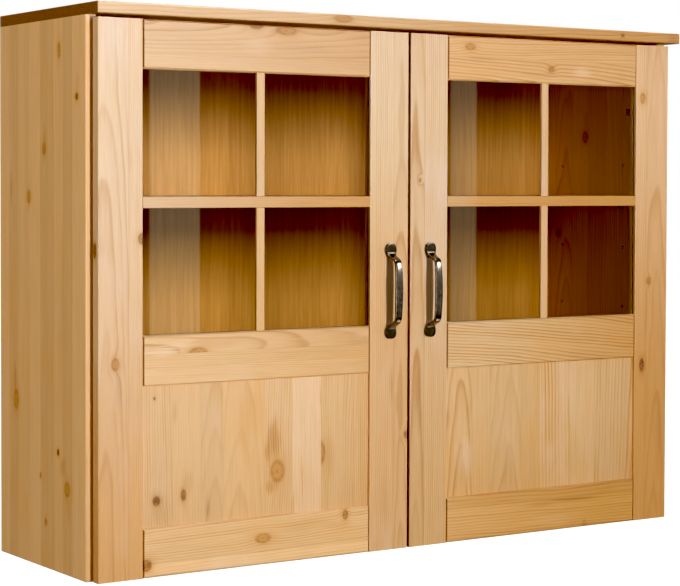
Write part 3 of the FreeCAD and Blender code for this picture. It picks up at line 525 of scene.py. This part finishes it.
wear("left_side_panel", pine(
    "pine_left_side", "ZYX", -491.5,
    [Lam(-263.0, -340.0, 26.0, 3.4, 0.87, 0.30, 0.50), Lam(-261.7, -340.0, 26.0, 3.4, 1.05, 0.30, 0.46),
     Lam(-223.0, -330.0, 30.0, 3.8, 0.97, 0.42, 0.66), Lam(-196.0, -120.0, 30.0, 3.0, 1.03, 0.34, 0.54),
     Lam(-168.0, -60.0, 30.0, 3.6, 0.95, 0.38, 0.72), Lam(-128.0, -230.0, 26.0, 3.2, 1.04, 0.30, 0.48),
     Lam(-92.0, 10.0, 30.0, 3.6, 1.0, 0.36, 0.60), Lam(-58.0, -150.0, 30.0, 4.0, 0.95, 0.44, 0.74),
     Lam(-30.0, 60.0, 26.0, 3.0, 1.02, 0.34, 0.56)],
    knots=[(hz(682.0), -185.0, 9.0, 4.0, 0.0), (hz(620.5), -237.0, 4.2, 3.8, 0.70), (hz(555.0), -140.0, 7.0, 4.6, 0.20),
           (hz(491.0), -92.0, 8.0, 5.0, 0.0), (hz(216.0), -50.5, 12.0, 7.0, 0.10), (hz(157.6), -181.0, 4.0, 3.0, 0.80),
           (hz(112.0), -208.0, 9.0, 7.0, 0.05), (hz(121.0), -127.6, 3.0, 2.4, 0.2), (hz(61.0), -143.5, 4.0, 3.0, 0.0)],
    smears=[(hz(503.0), -35.0, 30.0, 3.5, 0.60), (hz(570.0), -142.0, 18.0, 6.0, 0.30), (hz(245.0), -46.0, 26.0, 6.0, 0.50),
            (hz(140.0), -196.0, 14.0, 12.0, 0.40), (hz(85.0), -214.0, 20.0, 9.0, 0.25), (hz(640.0), -238.0, 14.0, 5.0, 0.25),
            (hz(540.0), -30.0, 40.0, 12.0, -0.25), (hz(330.0), -190.0, 120.0, 14.0, 0.12)],
    cast=(1.05, 1.0, 0.92), seed=21.0, lref=hz(200.0), taper=0.01, wave=3.0))
wear("right_side_panel", pine(
    "pine_right_side", "ZYX", 491.5, strips(-263.0, 0.0, 46.0, 31),
    knots=[(hz(585.0), -95.0, 9.0, 6.0, 0.35), (hz(330.0), -212.0, 7.0, 5.0, 0.75), (hz(110.0), -60.0, 12.0, 8.0, 0.12),
           (hz(430.0), -30.0, 5.0, 4.0, 0.5)],
    smears=[(hz(612.0), -97.0, 24.0, 6.0, 0.40), (hz(350.0), -210.0, 20.0, 6.0, 0.30), (hz(140.0), -58.0, 26.0, 7.0, 0.35)],
    seed=22.0, lref=hz(200.0), taper=0.05, wave=4.0))
# top board: under paints shade on the underside and the lowest part of the front edge, over the gap above the doors;
# cast and turn paint it paler at the left end, where the sheen falls, and more golden to the right
wear("top_board", pine(
    "pine_top", "XYZ", hz(738.5), strips(-297.0, 0.0, 48.0, 37),
    knots=[(-122.0, -296.0, 14.0, 8.0, 0.0, ("at", hz(733.0), 5.0)), (377.0, -296.0, 3.0, 7.0, 0.45, ("at", hz(731.5), 2.0)),
           (-310.0, -140.0, 13.0, 9.0, 0.2), (150.0, -70.0, 8.0, 6.0, 0.6), (335.0, -200.0, 11.0, 7.0, 0.15)],
    smears=[(-280.0, -138.0, 28.0, 8.0, 0.35), (128.0, -72.0, 22.0, 7.0, 0.35), (478.0, -296.0, 16.0, 12.0, 0.6)],
    shade=0.90, cast=(0.87, 0.84, 0.80), turn=(-250.0, 480.0, (1.0, 0.86, 0.60)), under=(14.9, 0.6), seed=23.0, taper=0.04))
wear("shelf", pine("pine_shelf", "XYZ", hz(492.5), strips(-251.0, 0.0, 50.0, 41),
                   knots=[(-120.0, -110.0, 9.0, 6.0, 0.3), (260.0, -180.0, 6.0, 5.0, 0.7)], seed=24.0))
wear("bottom_panel", pine("pine_bottom", "XYZ", hz(15.0), strips(-263.0, 0.0, 50.0, 43),
                          knots=[(-260.0, -90.0, 8.0, 6.0, 0.4), (180.0, -150.0, 11.0, 8.0, 0.15)], seed=25.0))
wear("hanging_rail", pine("pine_hanging_rail", "XZY", -19.0, [Lam(hz(679.0), hz(600.0), 26.0, 3.4, 0.98, 0.4, 0.55)],
                          knots=[(-150.0, hz(700.0), 7.0, 5.0, 0.4)], seed=26.0))


def back_board():
    """Thin back: a fine straight vertical grain in broad leaves inside, plain fibreboard on the rear."""
    t = Tree("back_board_grain")
    tc = t.node("ShaderNodeTexCoord")
    sep = t.node("ShaderNodeSeparateXYZ")
    t.put(sep.inputs[0], tc.outputs["Object"])
    x, y, z = (t.mul(sep.outputs[i], 1000.0) for i in range(3))
    bend = t.noise(t.comb(t.mul(x, 0.012), 0.0, t.mul(z, 0.004)), 1.0, 2.0, 0.5)
    xb = t.mad(t.sub(bend, 0.5), 14.0, x)
    leaf = t.m("FLOOR", t.mul(t.mad(x, 1.0, 500.0), 1.0 / 92.0))
    tone = t.white(t.add(leaf, 5.0))
    lines = t.noise(t.comb(t.mul(xb, 0.22), leaf, t.mul(z, 0.006)), 1.0, 3.0, 0.65)
    fine = t.noise(t.comb(t.mul(xb, 0.9), 3.0, t.mul(z, 0.018)), 1.0, 3.0, 0.7)
    dash = t.noise(t.comb(t.mul(xb, 1.3), 9.0, t.mul(z, 0.05)), 1.0, 2.0, 0.6)
    arch = t.m("SINE", t.add(t.mul(xb, 0.30), t.mul(t.noise(t.comb(t.mul(x, 0.008), leaf, t.mul(z, 0.0035)), 1.0, 2.0, 0.5), 26.0)))
    c = t.mix(t.smooth(lines, 0.30, 0.70), (0.570, 0.285, 0.083), (0.690, 0.365, 0.120))
    c = t.mix(t.mul(t.smooth(arch, 0.1, 1.0), 0.12), c, (0.42, 0.19, 0.042))
    c = t.mix(t.mul(t.smooth(fine, 0.46, 0.25), 0.5), c, (0.40, 0.18, 0.042))
    c = t.mix(t.mul(t.smooth(dash, 0.60, 0.75), 0.35), c, (0.36, 0.15, 0.03))
    c = t.mix(1.0, c, t.grey(t.mad(tone, 0.08, 0.95)), "MULTIPLY")
    # broad tone changes: paler leaves across the board, and painted shade, darker at the top and yellower in the lower
    # half
    pale = 0.0
    for middle, half, gain in ((80.0, 46.0, 0.24), (-132.0, 42.0, 0.17), (440.0, 42.0, 0.18)):
        a = t.mad(xb, 1.0 / half, -middle / half)
        pale = t.mad(t.m("EXPONENT", t.mul(t.mul(a, a), -1.0)), gain, pale)
    # painted shade: darker towards the top, under the top board
    pale = t.sub(pale, t.smooth(z, hz(555.0), hz(640.0), 0.0, 0.12))
    c = t.mix(1.0, c, t.grey(t.add(pale, 1.0)), "MULTIPLY")
    # painted shade: the lower half is yellower, as the lower compartment looks in shade
    c = t.mix(t.smooth(z, hz(520.0), hz(440.0)), c, t.mix(1.0, c, (1.0, 0.95, 0.74), "MULTIPLY"))
    nsep = t.node("ShaderNodeSeparateXYZ")
    t.put(nsep.inputs[0], tc.outputs["Normal"])
    rear = t.m("GREATER_THAN", nsep.outputs[1], 0.5)
    felt = t.noise(tc.outputs["Object"], 240.0, 4.0, 0.75)
    cloud = t.noise(tc.outputs["Object"], 14.0, 3.0, 0.55)
    raw = t.mix(t.smooth(felt, 0.30, 0.72), (0.570, 0.400, 0.265), (0.690, 0.500, 0.340))
    raw = t.mix(t.smooth(cloud, 0.35, 0.70, 0.0, 0.25), raw, (0.560, 0.395, 0.262))
    c = t.mix(rear, c, raw)
    height = t.add(t.mul(t.mad(fine, 0.6, t.mul(lines, 0.4)), t.sub(1.0, rear)), t.mul(felt, t.mul(rear, 0.22)))
    normal = t.bump(height, 0.0002, 0.25)
    t.principled(c, t.add(t.mad(fine, 0.12, 0.46), t.mul(rear, 0.26)), normal, Specular_IOR_Level=0.4)
    return t.mat


wear("back_panel", back_board())


def beech():
    t = Tree("beech_dowel")
    tc = t.node("ShaderNodeTexCoord")
    p = tc.outputs["Object"]
    fleck = t.noise(p, 900.0, 3.0, 0.6)
    tone = t.noise(p, 40.0, 2.0, 0.5)
    c = t.mix(t.smooth(fleck, 0.35, 0.7), (0.52, 0.31, 0.15), (0.68, 0.44, 0.24))
    c = t.mix(t.mul(tone, 0.4), c, (0.60, 0.36, 0.18))
    t.principled(c, t.mad(fleck, 0.2, 0.55), t.bump(fleck, 0.0002, 0.3))
    return t.mat


def plated(name, colour, dull, rough, seed):
    """Plated steel with fine grit and slight clouding."""
    t = Tree(name)
    tc = t.node("ShaderNodeTexCoord")
    p = tc.outputs["Object"]
    cloud = t.noise(p, 55.0 + seed, 3.0, 0.55)
    grit = t.noise(p, 1400.0, 2.0, 0.6)
    c = t.mix(t.smooth(cloud, 0.35, 0.7), dull, colour)
    r = t.add(t.mad(t.sub(cloud, 0.5), 0.22, rough), t.mul(t.sub(grit, 0.5), 0.14))
    t.principled(c, r, t.bump(grit, 0.00006, 0.25), Metallic=1.0)
    return t.mat


NICKEL = plated("nickel_steel", (0.66, 0.64, 0.60), (0.50, 0.48, 0.45), 0.24, 1.0)
ZINC = plated("zinc_steel", (0.60, 0.61, 0.61), (0.44, 0.45, 0.46), 0.34, 7.0)
BEECH = beech()
for side in ("left", "right"):
    for part in ("hinge_cups", "hinge_arms", "hinge_plates"):
        wear(side + "_" + part, NICKEL)
    for part in ("hinge_pins", "hinge_cup_screws", "hinge_plate_screws", "door_handle_screws"):
        wear(side + "_" + part, ZINC)
    wear(side + "_door_rail_dowels", BEECH)
wear("carcass_dowels", BEECH)
for part in ("shelf_pins", "carcass_cam_locks", "carcass_cam_bolts", "back_panel_nails"):
    wear(part, ZINC)


def glass():
    """Clear float glass: a film of reflection over what is behind, with faint wipe marks."""
    t = Tree("float_glass")
    tc = t.node("ShaderNodeTexCoord")
    p = tc.outputs["Object"]
    wipe = t.noise(p, 9.0, 3.0, 0.6)
    clear = t.node("ShaderNodeBsdfTransparent")
    clear.inputs["Color"].default_value = (0.975, 0.985, 0.975, 1.0)
    film = t.node("ShaderNodeBsdfGlossy")
    film.inputs["Color"].default_value = (1.0, 1.0, 1.0, 1.0)
    t.put(film.inputs["Roughness"], t.smooth(wipe, 0.3, 0.8, 0.0, 0.02))
    tilt = t.node("ShaderNodeLayerWeight")
    tilt.inputs["Blend"].default_value = 0.5
    mixer = t.node("ShaderNodeMixShader")
    t.put(mixer.inputs[0], t.mad(t.m("POWER", tilt.outputs["Facing"], 5.0), 0.955, 0.045))
    t.nt.links.new(clear.outputs[0], mixer.inputs[1])
    t.nt.links.new(film.outputs[0], mixer.inputs[2])
    t.nt.links.new(mixer.outputs[0], t.out.inputs["Surface"])
    return t.mat


GLASS = glass()
for side in ("left", "right"):
    wear(side + "_door_glass", GLASS)

# ---------------------------------------------------------------------------
# bow pulls: one forged strap, swept from foot pad to foot pad
# ---------------------------------------------------------------------------


def pewter():
    """Dark antiqued metal, rubbed bright along the edges."""
    t = Tree("antique_pewter")
    tc = t.node("ShaderNodeTexCoord")
    p = tc.outputs["Object"]
    rub = t.node("ShaderNodeAttribute", attribute_name="rub").outputs["Fac"]
    cloud = t.noise(p, 160.0, 4.0, 0.6)
    grit = t.noise(p, 1100.0, 3.0, 0.65)
    held = t.node("ShaderNodeAttribute", attribute_name="held").outputs["Fac"]
    drawn = t.node("ShaderNodeMapping")
    t.put(drawn.inputs["Vector"], p)
    drawn.inputs["Scale"].default_value = (900.0, 900.0, 40.0)
    brush = t.noise(drawn.outputs[0], 1.0, 2.0, 0.5)
    tarnish = t.m("SUBTRACT", t.smooth(cloud, 0.36, 0.68, 0.75, 0.0), t.mul(rub, 0.55), clamp=True)
    c = t.mix(tarnish, (0.30, 0.265, 0.225), (0.15, 0.125, 0.10))
    c = t.mix(t.mul(t.smooth(grit, 0.55, 0.78), 0.35), c, (0.07, 0.058, 0.046))
    c = t.mix(held, t.mix(0.45, c, (0.085, 0.068, 0.052)), c)
    r = t.add(t.mad(tarnish, 0.08, 0.16), t.add(t.mul(t.sub(brush, 0.5), 0.10), t.mul(t.sub(grit, 0.5), 0.06)))
    t.principled(c, r, t.bump(t.mad(grit, 0.5, t.mul(brush, 0.5)), 0.00010, 0.30), Metallic=1.0)
    return t.mat


PEWTER = pewter()


def spline(points, count):
    """Points along a uniform cubic B-spline that starts and ends on its end points."""
    p = np.array([points[0], points[0]] + list(points) + [points[-1], points[-1]], float)
    out = []
    spans = len(p) - 3
    for i in range(count):
        s = i / (count - 1) * spans
        k = min(int(s), spans - 1)
        x = s - k
        b = np.array([(1 - x) ** 3, 3 * x ** 3 - 6 * x ** 2 + 4, -3 * x ** 3 + 3 * x ** 2 + 3 * x + 1, x ** 3]) / 6.0
        out.append(b @ p[k:k + 4])
    return np.array(out)


def pull(name, xc, body):
    """xc is the pull's middle in X; out is away from the door, v along the pull."""
    # (out, v, half width, half thickness)
    half = [(2.0, 66.4, 0.8, 1.9), (2.0, 66.2, 3.7, 2.0), (2.05, 64.9, 6.7, 2.05), (2.1, 62.3, 8.7, 2.1), (2.1, 58.9, 9.5, 2.1),
            (2.1, 55.6, 9.4, 2.1), (2.15, 52.8, 8.7, 2.1), (3.0, 50.4, 7.5, 2.1), (6.0, 48.4, 6.4, 2.1),
            (10.2, 46.3, 5.8, 2.0), (14.2, 44.5, 5.8, 2.0), (17.6, 42.8, 5.9, 2.0), (20.0, 41.0, 6.0, 2.0),
            (21.1, 38.2, 6.1, 2.05), (21.9, 34.0, 6.3, 2.1), (22.6, 28.4, 6.5, 2.1), (23.1, 22.0, 6.7, 2.15),
            (23.6, 13.0, 6.95, 2.2), (23.9, 4.0, 7.1, 2.2)]
    line = spline(half + [(a, -b, c, d) for a, b, c, d in reversed(half)], 181)
    centre, wide, thick = line[:, :2], line[:, 2], line[:, 3]
    tangent = np.gradient(centre, axis=0)
    tangent /= np.linalg.norm(tangent, axis=1)[:, None]
    normal = np.stack([-tangent[:, 1], tangent[:, 0]], 1)      # to the strap's face
    if normal[len(normal) // 2][0] < 0:
        normal = -normal
    m = 28
    verts, rub, held = [], [], []
    for i in range(len(line)):
        for j in range(m):
            a = 2 * math.pi * j / m
            ca, sa = math.cos(a), math.sin(a)
            e = 0.40
            h = thick[i] * math.copysign(abs(sa) ** e, sa)
            slope = 0.12 * min(1.0, max(0.0, (46.0 - abs(centre[i][1])) / 6.0)) * (1.0 + h / thick[i])
            w = wide[i] * (1.0 - slope) * math.copysign(abs(ca) ** e, ca)
            crown = 0.06 * thick[i] * (1 - (w / max(wide[i], 1e-6)) ** 2) * (1 if sa > 0 else 0)
            q = centre[i] + normal[i] * (h * (0.92 if sa > 0 else 1.0) + crown)
            verts.append(((xc + w) / 1000.0, (-280.0 - max(q[0], 0.02)) / 1000.0, (hz(361.0) + q[1]) / 1000.0))
            corner = math.exp(-((abs(ca) - 0.76) / 0.16) ** 2) * (1.0 if sa > 0 else 0.3)
            rub.append(min(1.0, corner))
            held.append(min(1.0, max(0.0, (43.0 - abs(centre[i][1])) / 5.0)))
    faces = [(i * m + j, i * m + (j + 1) % m, (i + 1) * m + (j + 1) % m, (i + 1) * m + j)
             for i in range(len(line) - 1) for j in range(m)]
    faces += [tuple(range(m))[::-1], tuple((len(line) - 1) * m + j for j in range(m))]
    mesh = bpy.data.meshes.new(name)
    mesh.from_pydata(verts, [], faces)
    mesh.validate()
    import bmesh
    bm = bmesh.new()
    bm.from_mesh(mesh)
    bmesh.ops.recalc_face_normals(bm, faces=bm.faces)
    bm.to_mesh(mesh)
    bm.free()
    mesh.polygons.foreach_set("use_smooth", [True] * len(mesh.polygons))
    for key, values in (("rub", rub), ("held", held)):
        layer = mesh.attributes.new(key, "FLOAT", "POINT")
        layer.data.foreach_set("value", values)
    o = bpy.data.objects.new(name, mesh)
    bpy.context.scene.collection.objects.link(o)
    mesh.materials.append(PEWTER)
    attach(o, body)
    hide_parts(body + "_handle")
    return o


PULLS = [pull("left_pull", -32.7, "left_door"), pull("right_pull", 35.2, "right_door")]

# ---------------------------------------------------------------------------
# stage: floor, lights, camera
# ---------------------------------------------------------------------------

scene = bpy.context.scene


def floor():
    ring, r = 96, 7.0
    verts = [(0.0, 0.0, hz(0.0) / 1000.0)] + [
        (r * math.cos(2 * math.pi * i / ring), r * math.sin(2 * math.pi * i / ring), hz(0.0) / 1000.0) for i in range(ring)]
    mesh = bpy.data.meshes.new("floor")
    mesh.from_pydata(verts, [], [(0, 1 + i, 1 + (i + 1) % ring) for i in range(ring)])
    o = bpy.data.objects.new("floor", mesh)
    scene.collection.objects.link(o)
    t = Tree("studio_floor")
    p = t.principled((0.30, 0.30, 0.30, 1.0), 0.9, Specular_IOR_Level=0.0)
    p.inputs["Emission Color"].default_value = (1.0, 1.0, 1.0, 1.0)
    p.inputs["Emission Strength"].default_value = 0.985
    mesh.materials.append(t.mat)
    o.visible_diffuse = False
    o.visible_glossy = False
    return o


FLOOR = floor()


def group(name, objects):
    c = bpy.data.collections.new(name)
    for o in objects:
        c.objects.link(o)
    return c


INSIDE_NAMES = ("back_panel", "shelf", "hanging_rail", "bottom_panel")
INSIDE = group("inside", [NODES[n] for n in INSIDE_NAMES])
BLOCKERS = group("blockers", [o for n, o in NODES.items() if "_door_" in n and not n.endswith("_handle")])
INTERIOR = group("interior", [NODES[n] for n in INSIDE_NAMES + ("left_side_panel", "right_side_panel", "shelf_pins")])
OUTSIDE = group("outside", [o for n, o in NODES.items() if n not in INSIDE_NAMES and not n.endswith("_glass")] + [FLOOR])
RIGHT = group("right", list(OUTSIDE.objects) + PULLS)
SATIN = group("satin", [o for n, o in NODES.items() if o.data.materials and o.data.materials[0].name.startswith("pine_")
                        and n not in INSIDE_NAMES and not n.endswith("bar_horizontal")])
TOPS = group("tops", [NODES[n] for n in ("top_board", "left_side_panel", "right_side_panel")] + PULLS + [FLOOR])


def area(name, at, towards, size, power, colour=(1.0, 1.0, 1.0), receivers=None, diffuse=True, glossy=True, spread=180.0,
         blockers=None):
    data = bpy.data.lights.new(name, "AREA")
    data.shape = "RECTANGLE"
    data.size, data.size_y = size
    data.energy = power
    data.color = colour
    data.spread = math.radians(spread)
    o = bpy.data.objects.new(name, data)
    scene.collection.objects.link(o)
    o.location = at
    o.rotation_euler = (Vector(towards) - Vector(at)).to_track_quat("-Z", "Y").to_euler()
    o.visible_camera = False
    o.visible_diffuse = diffuse
    o.visible_glossy = glossy
    o.visible_transmission = False
    if receivers is not None:
        o.light_linking.receiver_collection = receivers
    if blockers is not None:
        o.light_linking.blocker_collection = blockers
    return o


HARDWARE = group("hardware", PULLS)
MID = (0.0, -0.28, -0.34)
area("key", (-0.02, -3.45, -0.36), (-0.50, -0.28, 0.03), (0.24, 0.24), 25.5, (1.0, 0.985, 0.955), OUTSIDE, spread=102.0)
area("inside_key", (-1.10, -1.80, 0.265), (0.05, -0.02, -0.25), (0.5, 0.58), 42.5, (1.0, 0.975, 0.96), INSIDE)
area("inside_fill", (-1.60, -2.55, -0.15), (0.1, -0.02, -0.25), (0.3, 0.3), 5.5, (1.0, 1.0, 0.96), INTERIOR)
area("pull_light", (0.813, -1.59, 0.27), (0.0, -0.30, -0.32), (0.7, 0.60), 9.0, (1.0, 0.99, 0.96), HARDWARE, diffuse=False)
area("pull_front", (1.55, -2.55, -0.42), (0.0, -0.30, -0.34), (1.6, 1.6), 0.95, (1.0, 0.94, 0.84), HARDWARE, diffuse=False)
area("pull_side", (-3.4, 0.0, -0.25), (-0.03, -0.30, -0.34), (1.6, 2.0), 26.0, (1.0, 0.95, 0.85), HARDWARE, diffuse=False)
area("pull_bevel", (-2.5, -1.75, -0.25), (0.0, -0.30, -0.34), (1.3, 1.6), 7.0, (1.0, 0.96, 0.88), HARDWARE, diffuse=False)
area("pull_face", (0.2, -4.6, -0.2), (0.0, -0.30, -0.34), (2.2, 2.2), 3.2, (1.0, 0.97, 0.92), HARDWARE, diffuse=False)
area("pull_top", (1.9, -0.35, 2.4), (0.0, -0.30, -0.30), (1.5, 1.2), 2.8, (1.0, 0.96, 0.88), HARDWARE, diffuse=False)
area("pull_low", (0.20, -0.43, -0.66), (0.0, -0.30, -0.38), (0.26, 0.16), 0.30, (1.0, 0.94, 0.82), HARDWARE, diffuse=False)
area("sheen", (0.22, -1.86, 1.05), (-0.20, -0.28, -0.10), (1.2, 1.0), 90.0, (0.96, 0.99, 1.0), SATIN, diffuse=False, blockers=BLOCKERS)
area("side_fill", (-3.4, 0.0, -0.25), (-0.49, -0.13, -0.38), (2.0, 2.2), 56.0, (1.0, 0.955, 0.85), OUTSIDE)
area("right_fill", (3.4, -0.55, 0.0), (0.49, -0.15, -0.33), (2.2, 2.2), 52.0, (1.0, 0.98, 0.95), RIGHT)
area("overhead", (0.0, -0.4, 2.6), (0.0, -0.2, 0.0), (2.0, 1.2), 56.0, (1.0, 0.99, 0.97), TOPS)
area("back_fill", (0.0, 3.2, 0.5), (0.0, 0.0, -0.33), (2.4, 1.6), 54.0, (1.0, 0.98, 0.95), None, glossy=False)
# bright cards whose reflections stand in the panes
area("card_left_pane", (1.281, -3.276, -0.2), (1.281 - 0.55, -2.276, -0.2), (0.150, 3.2), 1.60, (1.0, 0.88, 0.62), None, diffuse=False)
area("card_right_pane", (2.361, -3.28, -0.2), (2.361 - 0.75, -2.28, -0.2), (0.085, 3.2), 0.80, (1.0, 0.88, 0.62), None, diffuse=False)


def world():
    w = bpy.data.worlds.new("studio")
    scene.world = w
    w.use_nodes = True
    nt = w.node_tree
    nt.nodes.clear()
    out = nt.nodes.new("ShaderNodeOutputWorld")
    path = nt.nodes.new("ShaderNodeLightPath")
    shades = []
    for strength in (0.115, 0.15, 1.0):
        b = nt.nodes.new("ShaderNodeBackground")
        b.inputs["Color"].default_value = (1.0, 1.0, 1.0, 1.0)
        b.inputs["Strength"].default_value = strength
        shades.append(b)
    first = nt.nodes.new("ShaderNodeMixShader")
    nt.links.new(path.outputs["Is Glossy Ray"], first.inputs[0])
    nt.links.new(shades[0].outputs[0], first.inputs[1])
    nt.links.new(shades[1].outputs[0], first.inputs[2])
    second = nt.nodes.new("ShaderNodeMixShader")
    nt.links.new(path.outputs["Is Camera Ray"], second.inputs[0])
    nt.links.new(first.outputs[0], second.inputs[1])
    nt.links.new(shades[2].outputs[0], second.inputs[2])
    nt.links.new(second.outputs[0], out.inputs[0])


world()


def camera():
    focal, yaw, pitch, roll = 2020.52, 0.58436, -0.03087, 0.00284
    data = bpy.data.cameras.new("camera")
    data.sensor_fit = "HORIZONTAL"
    data.sensor_width = 36.0
    data.lens = focal / 680.0 * 36.0
    data.shift_y = (245.0 - 293.0) / 680.0
    data.clip_start, data.clip_end = 0.05, 60.0
    o = bpy.data.objects.new("camera", data)
    scene.collection.objects.link(o)
    level = Vector((math.sin(yaw), math.cos(yaw), 0.0))
    right = Vector((math.cos(yaw), -math.sin(yaw), 0.0))
    up = Vector((0.0, 0.0, 1.0))
    fwd = level * math.cos(pitch) + up * math.sin(pitch)
    tall = up * math.cos(pitch) - level * math.sin(pitch)
    r = right * math.cos(roll) + tall * math.sin(roll)
    u = tall * math.cos(roll) - right * math.sin(roll)
    m = Matrix((r, u, -fwd)).transposed().to_4x4()
    m.translation = (-1.636877, -2.579415, -0.190707)
    o.matrix_world = m
    scene.camera = o


camera()

scene.view_settings.view_transform = "Standard"
scene.view_settings.look = "None"
scene.view_settings.use_curve_mapping = True
curve = scene.view_settings.curve_mapping
curve.black_level = (0.04, 0.04, 0.04)
curve.white_level = (1.0, 1.0, 1.0)
curve.update()
scene.cycles.use_denoising = True
